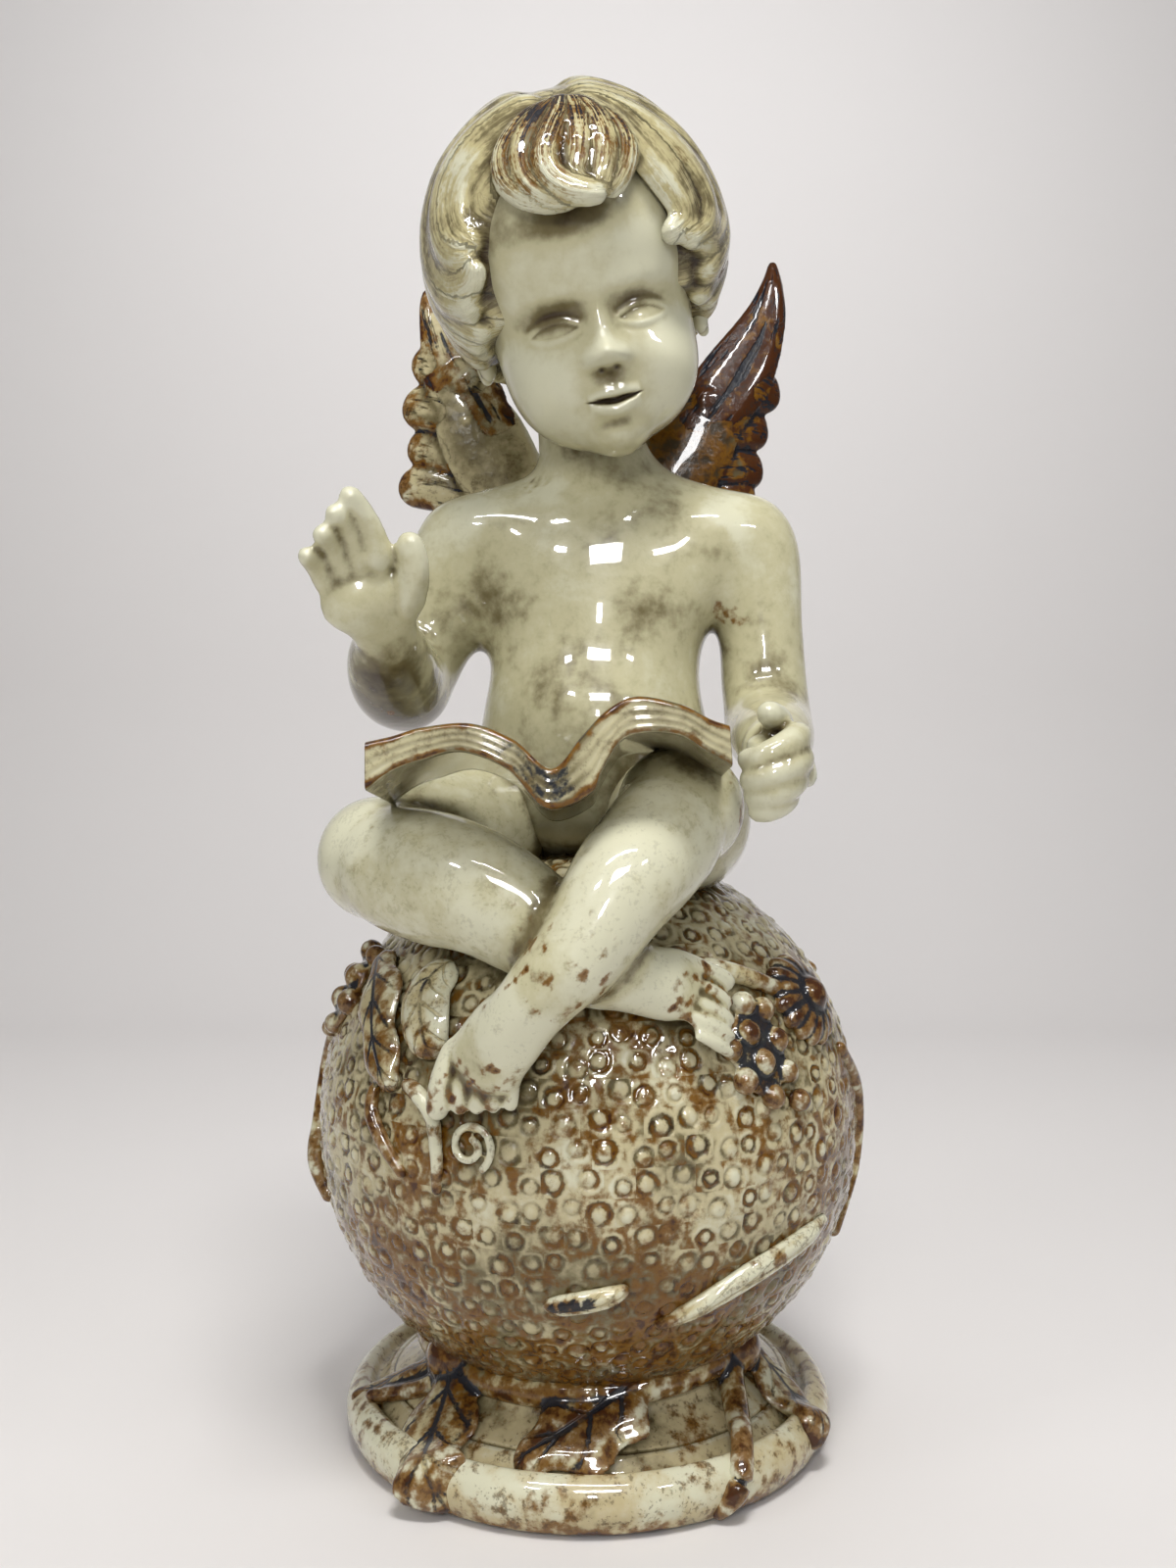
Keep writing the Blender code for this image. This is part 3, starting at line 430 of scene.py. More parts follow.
# A value in a shader: each sign in a formula, as in a * b + c, becomes one math node
class Value:
    def __init__(self, tree, socket):
        self.tree, self.socket = tree, socket

    def maths(self, operation, other=0.0):
        return node(self.tree, "Math", 0, {0: self, 1: other}, operation=operation)

    def other(self, output):
        return Value(self.tree, self.socket.node.outputs[output])

    def ranged(self, low, high, to=(0.0, 1.0)):
        inputs = dict(enumerate((self, low, high, *to)))
        return node(self.tree, "MapRange", 0, inputs, interpolation_type="SMOOTHSTEP")

    def __add__(self, other):
        return self.maths("ADD", other)

    def __sub__(self, other):
        return self.maths("SUBTRACT", other)

    def __mul__(self, other):
        return self.maths("MULTIPLY", other)

    def __truediv__(self, other):
        return self.maths("DIVIDE", other)


# A link where value comes from a node, and a setting where it is a number or a colour
def plug(value, socket):
    if isinstance(value, Value):
        value.tree.links.new(value.socket, socket)
    else:
        socket.default_value = value


# The output of a new node whose inputs, named or numbered, are plugged with values or numbers
def node(tree, kind, output, inputs, **settings):
    made = tree.nodes.new("ShaderNode" + kind)
    for name, setting in settings.items():
        setattr(made, name, setting)
    for name, value in inputs.items():
        plug(value, made.inputs[name])
    return Value(tree, made.outputs[output])


# What put() stored under a name
def attribute(tree, name):
    return node(tree, "Attribute", "Fac", {}, attribute_name=name)


def noise(place, scale, detail, roughness=0.55):
    inputs = {"Vector": place, "Scale": scale, "Detail": detail, "Roughness": roughness}
    return node(place.tree, "TexNoise", "Fac", inputs)


# Colour a where factor is 0 and b where it is 1
def mixed(factor, a, b):
    return node(factor.tree, "Mix", 2, {0: factor, 6: a, 7: b}, data_type="RGBA")


# A shader group, the values it is given and the sockets it fills
def newGroup(name, inputs, outputs):
    group = bpy.data.node_groups.new(name, "ShaderNodeTree")
    kinds = {"Place": "Vector", "Cream": "Color", "Colour": "Color"}
    for way, labels in (("INPUT", inputs), ("OUTPUT", outputs)):
        for label in labels:
            kind = "NodeSocket" + kinds.get(label, "Float")
            group.interface.new_socket(name=label, in_out=way, socket_type=kind)
    given = group.nodes.new("NodeGroupInput").outputs
    return group, [Value(group, given[label]) for label in inputs], group.nodes.new("NodeGroupOutput").inputs


# Colour of the glaze: milk to cream, olive and umber as Depth + Cloud * noise grows, Depth holding standing
# glaze and painted shade, then iron burnt through, ink in the clefts, and flecks; each layer covers the last as
# its driver runs from low to high
def makeGlazeGroup():
    labels = ("Place", "Depth", "Ochre", "Ink", "Cream", "Cloud", "Speckle", "Ragged")
    group, given, out = newGroup("glazeAndShadeColour", labels, ("Colour", "Height"))
    place, deep, ochre, ink, cream, cloud, speckle, ragged = given
    broad, close, grain = noise(place, 28, 4), noise(place, 150, 4), noise(place, 620, 3, 0.6)
    depth = (broad * 3 + close * 1.6 - 2.3) * cloud + deep
    burnt = (close - 0.5) * ragged + ochre
    dark = (grain - 0.5) * 0.9 + ink
    tone = mixed(depth.ranged(-0.35, 0.12), glaze["milk"], cream)
    for driver, low, high, most, colour in (
        (depth, 0.08, 0.62, 1, "olive"), (depth, 0.55, 1.15, 1, "umber"), (burnt, 0.12, 0.62, 0.92, "ochre"),
        (burnt, 0.62, 1, 0.95, "rust"), (dark, 0.3, 0.75, 0.95, "ink"),
    ):
        tone = mixed(driver.ranged(low, high, (0, most)), tone, glaze[colour])
    fleck = ((close - 0.5) * 0.9 + grain).ranged(0.56, 0.68) * speckle
    plug(mixed(fleck, tone, glaze["umber"]), out["Colour"])
    plug(broad + close * 0.25, out["Height"])
    return group


# Streaks that run along a lock or feather: noise at (1.6 * along, fineness * aside, 3.7 * which)
def makeStreakGroup():
    group, given, out = newGroup("drawnStreaks", ("Along", "Aside", "Which", "Fineness"), ("Streak",))
    along, aside, which, fineness = given
    spot = node(group, "CombineXYZ", 0, {0: along * 1.6, 1: aside * fineness, 2: which * 3.7})
    plug(noise(spot, 1, 2, 0.6), out["Streak"])
    return group


glazeGroup, streakGroup = makeGlazeGroup(), makeStreakGroup()


# The streak group, fed by what put() stored
def streaks(tree, fineness):
    given = {label: attribute(tree, label.lower()) for label in ("Along", "Aside", "Which")}
    return node(tree, "Group", "Streak", dict(given, Fineness=fineness), node_tree=streakGroup)


# One glazed finish: the group's colour and a faint swell, under a clear coat. extra turns place, depth, ochre
# and ink into the depth, ochre and ink that the group is given, and a relief in millimetres.
def glazed(name, cloud, speckle, swell=0.00012, cream=glaze["cream"], ragged=2.2, coat=glaze["coat"],
           extra=None):
    material = bpy.data.materials.new(name)
    material.use_nodes = True
    tree = material.node_tree
    place = node(tree, "TexCoord", "Object", {})
    values, relief = [attribute(tree, label) for label in ("depth", "ochre", "ink")], None
    if extra:
        *values, relief = extra(place, *values)
    given = {"Place": place, "Cream": cream, "Cloud": cloud, "Speckle": speckle, "Ragged": ragged}
    given.update(zip(("Depth", "Ochre", "Ink"), values))
    finish = node(tree, "Group", "Colour", given, node_tree=glazeGroup)
    normal = node(tree, "Bump", 0, {"Strength": 1, "Distance": swell, "Height": finish.other("Height")})
    if relief:
        normal = node(tree, "Bump", 0, {"Distance": mm, "Height": relief, "Normal": normal})
    for label, value in (
        ("Base Color", finish), ("Normal", normal), ("Roughness", glaze["roughness"]), ("Coat Weight", coat),
        ("Specular IOR Level", glaze["specular"]), ("Coat Roughness", glaze["coatRoughness"]),
        ("Coat IOR", glaze["coatIor"]),
    ):
        plug(value, tree.nodes["Principled BSDF"].inputs[label])
    return material


# A finished piece: its material, the body it rides on, and the imported part that it stands for hidden
def dressed(piece, material):
    piece.data.materials.clear()
    piece.data.materials.append(material)
    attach(piece, "root")
    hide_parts("cherub_statue")
    print(piece.name, "dressed,", len(piece.data.polygons), "faces")


# Depth of standing glaze and painted shade on a piece: lift plus the weighted sum of its dips, its hollows at
# two scales, and of how crowded each place is, which most limits and the clear places leave out; the crowding
# term is painted shade where forms close in
def glazeDepthAndShade(mesh, dips, weights, lift, most=0.5, clear=()):
    near, far = dips
    spots = pointsOf(mesh)
    crowd = np.minimum(crowding(spots) - 0.5, most) * awayFrom(spots, clear)
    byNear, byFar, byCrowd = weights
    return lift + byNear * np.clip(2 * near, -0.5, 1) + byFar * np.clip(far, -1, 3) + byCrowd * crowd


# Camera and lights first, so that every stage can be looked at

photo = {"focal": 1394, "height": 1600}  # in pixels: its focal length, worked out, and its longer side
camera = pieceFrom("camera", bpy.data.cameras.new("camera"))
bpy.context.scene.camera = camera
camera.location = (0, -0.71, 0.327)
camera.rotation_euler = (math.radians(90), 0, 0)
camera.data.sensor_fit = "AUTO"
camera.data.sensor_width = 36
camera.data.lens = camera.data.sensor_width * photo["focal"] / photo["height"]
camera.data.clip_start = 0.05

lamps = {  # place, width, height, power, warmth, and whether the glaze mirrors it or is lit by it
    "softTop": ((0.12, -0.66, 1.8), 0.5, 0.36, 21.0, (1, 0.985, 0.95), False),
    "softFront": ((-0.15, -1.6, 0.95), 0.5, 0.4, 8.5, (1, 0.99, 0.96), False),
    "softLeft": ((-1.2, -0.9, 1.0), 0.4, 0.7, 3.6, (1, 0.99, 0.97), False),
    "softRight": ((1.3, -0.7, 1.0), 0.4, 0.7, 2.2, (0.97, 0.98, 1), False),
    "window": ((0.10, -1.15, 1.25), 0.50, 0.20, 20.0, (1, 1, 1), True),
    "tubeLeft": ((-0.55, -1.0, 1.25), 0.16, 0.08, 5.0, (1, 1, 1), True),
    "tubeRight": ((0.80, -1.0, 1.2), 0.16, 0.08, 5.0, (1, 1, 1), True),
    "strip": ((-0.1, -0.85, 1.75), 1.1, 0.07, 20.0, (1, 1, 1), True),
    "lowWindow": ((0.05, -1.5, 0.85), 0.10, 0.22, 9.0, (1, 1, 1), True),
    "backdrop": ((0.0, 0.5, 1.9), 1.8, 0.4, 11.0, (1, 1, 1), False),
}
for label, (place, wide, tall, power, tint, mirrored) in lamps.items():
    lamp = bpy.data.lights.new(label, "AREA")
    lamp.shape = "RECTANGLE"
    lamp.size, lamp.size_y, lamp.energy, lamp.color = wide, tall, power, tint
    target = (0, 1.6, 0.8) if label == "backdrop" else (0, 0, 0.36)
    made = pieceFrom(label, lamp)
    made.visible_glossy, made.visible_diffuse = mirrored, not mirrored
    made.location = place
    made.rotation_euler = (Vector(target) - Vector(place)).to_track_quat("-Z", "Y").to_euler()

world = bpy.data.worlds.new("studio")
bpy.context.scene.world = world
world.use_nodes = True
for label, value in (("Color", (0.92, 0.91, 0.89, 1)), ("Strength", 0.2)):
    plug(value, world.node_tree.nodes["Background"].inputs[label])
bpy.context.scene.view_settings.view_transform = "Standard"


# The floor: a pale sheet that runs back and curls up behind, a profile carried sideways
def makeFloor():
    reach, back, bend, columns = 2.2, 1.1, 0.5, 9
    angle = np.linspace(0, math.pi / 2, 16)
    curl = np.stack([back + bend * np.sin(angle), bend - bend * np.cos(angle)], -1)
    profile = np.concatenate([[(-2.0, 0)], curl, [(back + bend, 2.4)]])
    y, x = np.meshgrid(profile[:, 0], np.linspace(-reach, reach, columns), indexing="ij")
    spots = np.stack([x, y, np.repeat(profile[:, 1:], columns, 1)], -1).reshape(-1, 3)
    row, column = np.meshgrid(np.arange(len(profile) - 1), np.arange(columns - 1), indexing="ij")
    here = row * columns + column
    quads = np.stack([here, here + 1, here + columns + 1, here + columns], -1).reshape(-1, 4)
    mesh = bpy.data.meshes.new("floor")
    mesh.from_pydata(spots.tolist(), [], quads.tolist())
    mesh.shade_smooth()
    material = bpy.data.materials.new("paleFloor")
    material.use_nodes = True
    for label, value in (("Base Color", (0.74, 0.72, 0.72, 1)), ("Roughness", 0.7)):
        plug(value, material.node_tree.nodes["Principled BSDF"].inputs[label])
    mesh.materials.append(material)
    return pieceFrom("floor", mesh)


makeFloor()


# Head: ray lengths to a few ellipsoids blended where they meet, then bumps and folds pushed forward

headForms = (  # middle and half-sizes
    ((0, 4, -2), (64, 71, 66)),
    ((0, -20, 0), (52, 50, 48)),
    ((0, -16, -50), (48, 49, 55)),
    ((-24, -32, -66), (24, 25, 27)),
    ((24, -32, -66), (24, 25, 27)),
    ((0, -41, -92), (18, 16, 15)),
    ((0, -50, -80), (20, 13, 15)),
)
face = {
    "blend": 0.3, "easing": 380,  # sharpness of the blend between the forms, and rounds of easing
    "bumps": (  # x, z, half-width, half-height and how far it stands forward
        (0, -45, 6, 13, 4.5), (0, -58, 8, 6.5, 10), (-7, -60, 4.5, 4, 3.5), (7, -60, 4.5, 4, 3.5),
        (-21, -42, 14, 10, -6), (21, -42, 14, 10, -6), (-21, -44, 10, 6.5, 5), (21, -44, 10, 6.5, 5),
        (-20, -29, 17, 6, 2), (20, -29, 17, 6, 2), (0, -69, 2.4, 3, -0.7),
        (-3.6, -64.6, 1.7, 1.2, -2), (3.6, -64.6, 1.7, 1.2, -2), (0, -90, 12, 3.5, -1.4),
        (0, -99, 13, 8, 3), (-29, -66, 17, 15, 2.5), (29, -66, 17, 15, 2.5),
    ),
    "eye": (21, -44, 12, 4.2, 3.2),  # x, z, half-width, upper and lower half-height
    "mouth": (-79, 13, 1.4),  # z, half-width and half the parting
}


# How far each ray from the skull's middle runs until it leaves an ellipsoid: the far root of the quadratic
def rayLength(rays, middle, size):
    scaled, start = rays / size, -np.asarray(middle, float) / size
    a, b, c = (scaled**2).sum(-1), (scaled * start).sum(-1), (start**2).sum() - 1
    root = b * b - a * c
    return (-b + np.sign(root) * np.sqrt(abs(root))) / a


# A soft ridge, exp(-(distance / width) ** 2)
def ridge(distance, width):
    return np.exp(-((distance / width) ** 2))


# Forward relief of lids and lips: ridges along arcs z = middle + height * (1 - u * u), where u runs from corner
# to corner
def faceFolds(x, z):
    made = 0 * x
    ex, ez, wide, upper, lower = face["eye"]
    for side in (-1, 1):
        u = (x - side * ex) / wide
        arc = np.clip(1 - u**2, 0, None)
        within = np.clip((1.25 - abs(u)) / 0.3, 0, 1)
        top, bottom = ez + upper * arc, ez - lower * arc
        inside = np.clip((top - z) / 0.9, 0, 1) * np.clip((z - bottom) / 0.9, 0, 1) * (abs(u) < 1)
        made = made - 0.6 * inside
        made = made + within * (0.6 * ridge(z - top - 1.2, 1.4) - 0.45 * ridge(z - top - 4.2, 1.4))
        made = made + within * (0.35 * ridge(z - bottom + 1.1, 1.3) - 0.2 * ridge(z - bottom + 3.6, 1.5))
    mz, wide, part = face["mouth"]
    u = x / wide
    arc = np.clip(1 - u**2, 0, None)
    line = mz + 1.1 * u**2 - 0.5 * ridge(u, 0.25)
    within = np.clip((1.15 - abs(u)) / 0.25, 0, 1)
    bow = 1 - 0.22 * ridge(u, 0.16) + 0.12 * ridge(abs(u) - 0.34, 0.2)
    made = made + within * 1.9 * arc**0.7 * bow * ridge(z - line - part - 2.2 * arc - 0.3, 2.6)
    made = made + within * 2.8 * arc**0.7 * ridge(z - line + part + 2.8 * arc, 3.2)
    gap = np.clip((part * arc**0.7 + 0.3 - abs(z - line)) / 0.9, 0, 1)
    return made - 4.2 * gap * within


# The skull and cheeks: the ray lengths to the forms, blended by the logarithm of their summed exponentials
def skullPlaces(rays):
    total = sum(np.exp(rayLength(rays, *form) * face["blend"]) for form in headForms)
    return rays * (np.log(total) / face["blend"])[..., None]


# Places of the front moved forward by the folds and by each bump, a soft ridge in x and in z
def modelledFace(places):
    front = np.clip(-places[:, 1] / 25 - 0.6, 0, 1)
    x, z = places[:, 0], places[:, 2]
    stand = faceFolds(x, z)
    for bx, bz, wide, tall, height in face["bumps"]:
        stand = stand + height * np.exp(-((x - bx) ** 2 / wide**2 + (z - bz) ** 2 / tall**2))
    return places - np.stack([0 * x, stand * front, 0 * x], -1)


# Angles from low to high, packed closer round middle by 1 + strength * a soft ridge
def packed(low, high, count, middle, width, strength):
    fine = np.linspace(low, high, 2000)
    weight = 1 + strength * ridge(fine - middle, width)
    run = np.concatenate([[0], np.cumsum((weight[1:] + weight[:-1]) / 2)])
    return np.interp(np.linspace(0, run[-1], count), run, fine)


faceGlaze = glazed("faceGlaze", cloud=0.3, speckle=0.02, swell=0.0003)


# Painted shade: the glaze is darkened between the lips, in the eye sockets, under the fringe and the jaw, and
# at the nostrils, where shade falls
def makeHead():
    azimuth = packed(-180, 180, 211, 0, 40, 5)[:-1]
    elevation = packed(-88, 88, 185, -46, 24, 5)
    azimuth, elevation = np.meshgrid(azimuth, elevation)
    piece = pieceFrom("head", meshFrom("head", [closedGrid(skullPlaces(direction(azimuth, elevation)))]))
    mesh = piece.data
    softened(mesh, np.ones(len(mesh.vertices)), face["easing"])
    movePoints(mesh, onHead(modelledFace(pointsOf(mesh))))
    local = (pointsOf(mesh) - seat - headMiddle) @ headTurn / mm
    x, z, front = local[:, 0], local[:, 2], local[:, 1] < -30
    mz, wide, part = face["mouth"]
    ex, ez = face["eye"][:2]
    # Painted shade between the lips, in the sockets, under the fringe, at the nostrils and under the jaw
    mouthShade = ridge(x, wide) * ridge(z - mz, part + 1) * front
    socketShade = sum(ridge(x - side * ex, 15) * ridge(z - ez - 7, 8) for side in (-1, 1)) * front
    fringeShadow = ridge(z - 2, 9) * front * ridge(x + 4, 27)
    nostrilShade = ridge(x, 7) * ridge(z + 66, 3) * front
    jawShade = np.clip(-(z + 84) / 14, 0, 1)
    depth = glazeDepthAndShade(mesh, hollows(mesh, (4, 30)), (0.3, 0.25, 1.6), -0.05)
    depth = depth + 0.6 * mouthShade + 0.75 * socketShade + 0.9 * fringeShadow + 0.5 * nostrilShade + 0.45 * jawShade
    put(mesh, depth=depth, ochre=0 * depth - 0.6, ink=0.35 * mouthShade - 0.5)
    dressed(piece, faceGlaze)


# Each ear is a small ellipsoid with a rim curled round it
def makeEars():
    shapes = []
    turn = np.linspace(-2.2, 2.4, 24)
    size = np.full(24, 3.0 * mm)
    for side in (-1, 1):
        shapes.append(ball(onHead((55 * side, 2, -47)), np.array([5, 8, 10]) * mm, turn=headTurn))
        rim = [side * (57 + 1.5 * np.cos(turn)), 3 + 8 * np.cos(turn + 0.5), -45 + 11 * np.sin(turn + 0.5)]
        shapes.append(swept(onHead(np.stack(rim, -1)), size, size, headTurn @ [side, 0, 0], 12))
    piece = fused("ears", shapes, 0.0009, 4)
    mesh = piece.data
    depth = glazeDepthAndShade(mesh, hollows(mesh, (5, 40)), (0.5, 0.28, 1.5), 0.05)
    put(mesh, depth=depth, ochre=0 * depth - 0.6, ink=0 * depth - 0.6)
    dressed(piece, faceGlaze)


makeHead()
makeEars()


# Hair: a cap with wavy locks lying on it, each lock a fluted strap. The cap is sunk where it meets the face.
# All locks but those of the forehead are set lower and drawn wider, and a thinner lock rides on each furrow.

hair = {
    "middle": (0, 4, -2), "size": (70, 77, 71), "sunk": 12, "thick": 5.2, "flutes": (5, 0.05), "low": 2.0,
    "wider": 1.28, "between": 8, "rides": 1.6,
    "fade": 0.06,  # metres over which the hair darkens to the right and downwards
}
leftLocks = (  # azimuth, elevation, lift and half-width, from the face round to the back
    ((-2, 52, 0, 9), (-27, 48, 0, 11), (-46, 38, 1, 12), (-55, 25, 1, 11), (-52, 10, 2, 9), (-40, -1, 3, 5)),
    ((-10, 64, 0, 10), (-50, 54, 0, 12), (-72, 38, 1, 12), (-80, 20, 1, 11), (-73, 3, 2, 9), (-60, -8, 4, 7.5),
     (-46, -9, 5.5, 6.5), (-42, -3, 5.5, 4.5)),
    ((-30, 70, 0, 10), (-70, 52, 0, 12), (-88, 28, 1, 12), (-92, 6, 2, 11), (-80, -12, 3, 9),
     (-64, -24, 4, 7.5), (-53, -31, 4, 4)),
    ((-60, 76, 0, 10), (-100, 48, 0, 12), (-104, 20, 1, 12), (-100, -6, 2, 11), (-84, -24, 3, 9),
     (-70, -36, 3, 7), (-67, -37, 3, 5)),
)
rightLocks = (
    ((14, 52, 0, 8), (26, 41, 1, 10), (32, 24, 2, 10), (40, 7, 2, 9), (43, -5, 3, 7), (31, -12, 3, 4)),
    ((16, 58, 0, 9), (41, 44, 0, 11), (60, 25, 1, 11), (75, 9, 2, 10), (76, -4, 4, 8), (61, -13, 5, 7),
     (46, -14, 5.5, 5)),
    ((24, 70, 0, 10), (64, 47, 0, 12), (82, 23, 1, 12), (88, 1, 2, 11), (82, -16, 4, 9), (66, -28, 4, 7),
     (55, -36, 4, 4)),
    ((50, 78, 0, 10), (100, 48, 0, 12), (104, 18, 1, 12), (97, -9, 2, 11), (84, -32, 3, 9), (76, -38, 3, 6)),
)
backLocks = (  # drawn on the right, and again mirrored on the left
    ((60, 84, 0, 9), (116, 52, 1, 12), (124, 16, 1, 12), (112, -16, 2, 11), (99, -36, 3, 9), (90, -43, 2, 6)),
    ((100, 84, 0, 9), (136, 48, 1, 12), (142, 12, 1, 13), (130, -18, 2, 12), (118, -42, 2, 9),
     (108, -54, 2, 4)),
    ((150, 82, 0, 9), (156, 46, 1, 12), (163, 12, 1, 13), (150, -20, 2, 12), (142, -44, 2, 9),
     (134, -57, 2, 4)),
    ((178, 70, 0, 9), (178, 40, 1, 12), (184, 10, 1, 13), (172, -22, 2, 12), (168, -46, 2, 9),
     (164, -58, 2, 4)),
)
foreheadLocks = (
    ((-1, 47, 0, 5), (-13, 41, 2, 6.5), (-23, 29, 3, 7), (-22, 17, 3, 7), (-13, 9, 3, 6), (-1, 5, 3, 4)),
    ((4, 48, 1, 5), (-8, 39, 3, 6.5), (-15, 28, 4, 7), (-15, 17, 5, 7), (-9, 9, 5, 6), (1, 5, 4, 4)),
    ((10, 48, 1, 5), (8, 34, 4, 6.5), (5, 22, 5, 6.5), (2, 14, 5, 6), (5, 9, 5, 4)),
    ((13, 48, 1, 5), (15, 34, 4, 6.5), (14, 22, 5, 7), (10, 12, 5, 6), (6, 7, 5, 4)),
    ((15, 46, 0, 5), (22, 35, 2, 6.5), (23, 22, 3, 7), (17, 11, 3, 6), (10, 5, 3, 4)),
    ((6, 49, 2, 4.5), (1, 37, 5, 5.5), (-5, 27, 7, 6), (-8, 18, 8, 6.5), (-4, 10.5, 8.5, 6.5), (3, 6.5, 8, 6),
     (10, 5, 7, 4)),
)


# From rows of (azimuth, elevation, lift, half-width): along the ray, as far as the cap and the lift
def onHair(rows):
    rays = direction(rows[:, 0], rows[:, 1])
    places = rays * (rayLength(rays, hair["middle"], hair["size"]) + rows[:, 2])[:, None]
    return headRows(np.column_stack([places, rows[:, 3:]]))


# 1 under the hair and 0 on the face and neck: the face's opening widens towards the jaw
def hairCover(azimuth, elevation):
    side = 41 + np.clip(-30 - elevation, 0, 40) * 2.6
    rise = np.clip((elevation + 25) / 58, 0, 3)
    opening = np.clip(3.5 * (np.sqrt((azimuth / side) ** 2 + rise**2) - 1) + 0.5, 0, 1)
    return opening * np.clip((elevation + 58) / 6, 0, 1)


# Every lock in degrees and millimetres: the forehead's, then each side's from the face round to the back
def hairLocks():
    locks = [curveThrough(rows, 12) for rows in foreheadLocks]
    for side in (leftLocks, rightLocks):
        mirror = [np.sign(side[0][2][0]), 1, 1, 1]
        row = [curveThrough(rows, 12) for rows in side]
        row += [curveThrough(rows, 12) * mirror for rows in backLocks]
        locks += row
        for one, other in zip(row[:-1], row[1:]):
            between = (one + other) / 2
            between[:, 2] += hair["rides"]
            between[:, 3] = np.minimum(between[:, 3], hair["between"])
            locks.append(between)
    return locks


# Streaks deepen the glaze and stand as fine ridges; at the root of the tuft they turn to ochre and ink
def strands(place, depth, ochre, ink):
    streak, root = streaks(place.tree, 4.5), attribute(place.tree, "mask")
    lines = streak.ranged(0.40, 0.66, (-0.08, 0.27))
    burnt = streak.ranged(0.40, 0.54, (0.35, 1.4)) * root
    black = streak.ranged(0.47, 0.56, (0, 1.6)) * root
    return depth + lines, lines * 0.3 + ochre + burnt, ink + black, streak * -1.2


# The glaze stands deeper on the tuft; the rest of the hair is darker towards the right and lower down
def makeHair():
    azimuth, elevation = np.meshgrid(np.linspace(-180, 180, 160, endpoint=False), np.linspace(-88, 88, 110))
    rays = direction(azimuth, elevation)
    sizes = rayLength(rays, hair["middle"], hair["size"]) - hair["sunk"] * (1 - hairCover(azimuth, elevation))
    shapes, paths, outwards = [closedGrid(onHead(rays * sizes[..., None]))], [], []
    middle = seat + headMiddle
    for k, rows in enumerate(hairLocks()):
        if k >= len(foreheadLocks):
            rows = rows * [1, 1, 1, hair["wider"]] - [0, 0, hair["low"], 0]
        rows = curveThrough(onHair(rows), 48)
        paths.append(rows)
        outwards.append(rows[:, :3] - middle)
        shapes.append(flattened(rows, hair["thick"] * mm, outwards[-1], 36, hair["flutes"]))
    piece = fused("hair", shapes, 0.00142, 6)
    mesh = piece.data
    spots = pointsOf(mesh)
    which, along, aside, away = lieAlong(spots, paths, outwards)
    tuft = (which < len(foreheadLocks)) * np.clip(1.5 - away, 0, 1)
    softened(mesh, 0.92 - 0.55 * np.clip(tuft, 0, 1), 15)
    depth = glazeDepthAndShade(mesh, hollows(mesh, (4, 26)), (0.6, 0.4, 1.0), 0.30)
    depth = depth + 0.22 * wobble(spots, 0.04, 2) + 0.26 * tuft
    # Darker towards the right and lower down, lighter on top
    right, high = (np.clip((spots - middle)[:, k] / hair["fade"], -1, 1) for k in (0, 2))
    depth = depth + (1 - np.clip(tuft, 0, 1)) * (0.16 * right - 0.10 * high)
    ochre = 0.45 * np.clip(wobble(spots, 0.03, 9) - 0.2, 0, 1) - 0.1
    root = tuft * np.clip(1.5 - along * 1.9, 0, 1)
    put(mesh, depth=depth, ochre=ochre, ink=0.3 * root - 0.25)
    put(mesh, along=along * 6, aside=aside, which=which, mask=root)
    dressed(piece, glazed("hairGlaze", 0.5, 0.08, cream=(0.47, 0.415, 0.225, 1), ragged=0.9, extra=strands))


makeHair()


# Body: torso, shoulders, arms and hands melted together

torso = (  # x, y, z, half-width, half-depth
    (4, 12, -14, 50, 44), (4, 12, -6, 64, 56), (4, 12, 15, 72, 60), (4, 5, 45, 64, 57), (3, 0, 75, 57.5, 53),
    (4, 2, 100, 54, 48), (6, 4, 130, 60, 46.5), (8, 6, 155, 64, 43), (9, 8, 173, 58, 38), (7, 8, 188, 44, 33),
    (4, 4, 202, 31, 29), (0, 0, 225, 27, 27), (-4, -6, 262, 27, 27),
)
fleshFills = (  # middle and half-sizes: chest, belly, the flesh between arm and chest
    ((-16, -20, 136), (32, 15, 40)), ((30, -20, 136), (32, 15, 40)), ((4, -34, 66), (38, 24, 32)),
    ((-52, 0, 140), (20, 22, 34)), ((69, 0, 148), (19, 22, 30)), ((-46, -10, 163), (30, 17, 20)),
    ((62, -10, 163), (30, 17, 20)), ((8, -8, 178), (52, 20, 16)),
)
skin = {  # places of (x, y, z, radius); those of the shadow under the chin are from the middle of the skull
    "hands": ((-104, -112, 140, 32), (80, -112, 45, 28)),  # left crisp
    # chest and palm, kept pale, left out of the painted shade between parts
    "clear": ((-33, -38, 147, 27), (46, -38, 147, 27), (22, -22, 178, 30), (-98, -108, 130, 24)),
    # brown under the forearms
    "underForearms": ((-96, -20, 66, 38), (-95, -48, 78, 36), (-93, -76, 88, 27), (93, -20, 46, 26)),
    "warm": ((74, -20, 122, 11), (-96, -50, 74, 7), (66, -12, 128, 12)),
    # painted shadow on the neck under the chin; the belly and a chip are darker
    "chinShadow": ((4, -22, -118, 34),), "belly": ((6, -45, 92, 50),), "chip": ((-29, -20, 193, 8),),
}
knees = (((-97, -66, 2), (30.5, 30.5, 30)), ((42, -88, 26), (29.5, 29.5, 29)))
shoulders = ((-66, 4, 164, 22), (-30, 7, 173, 25), (8, 9, 177, 27), (46, 7, 173, 25), (84, 4, 164, 22))
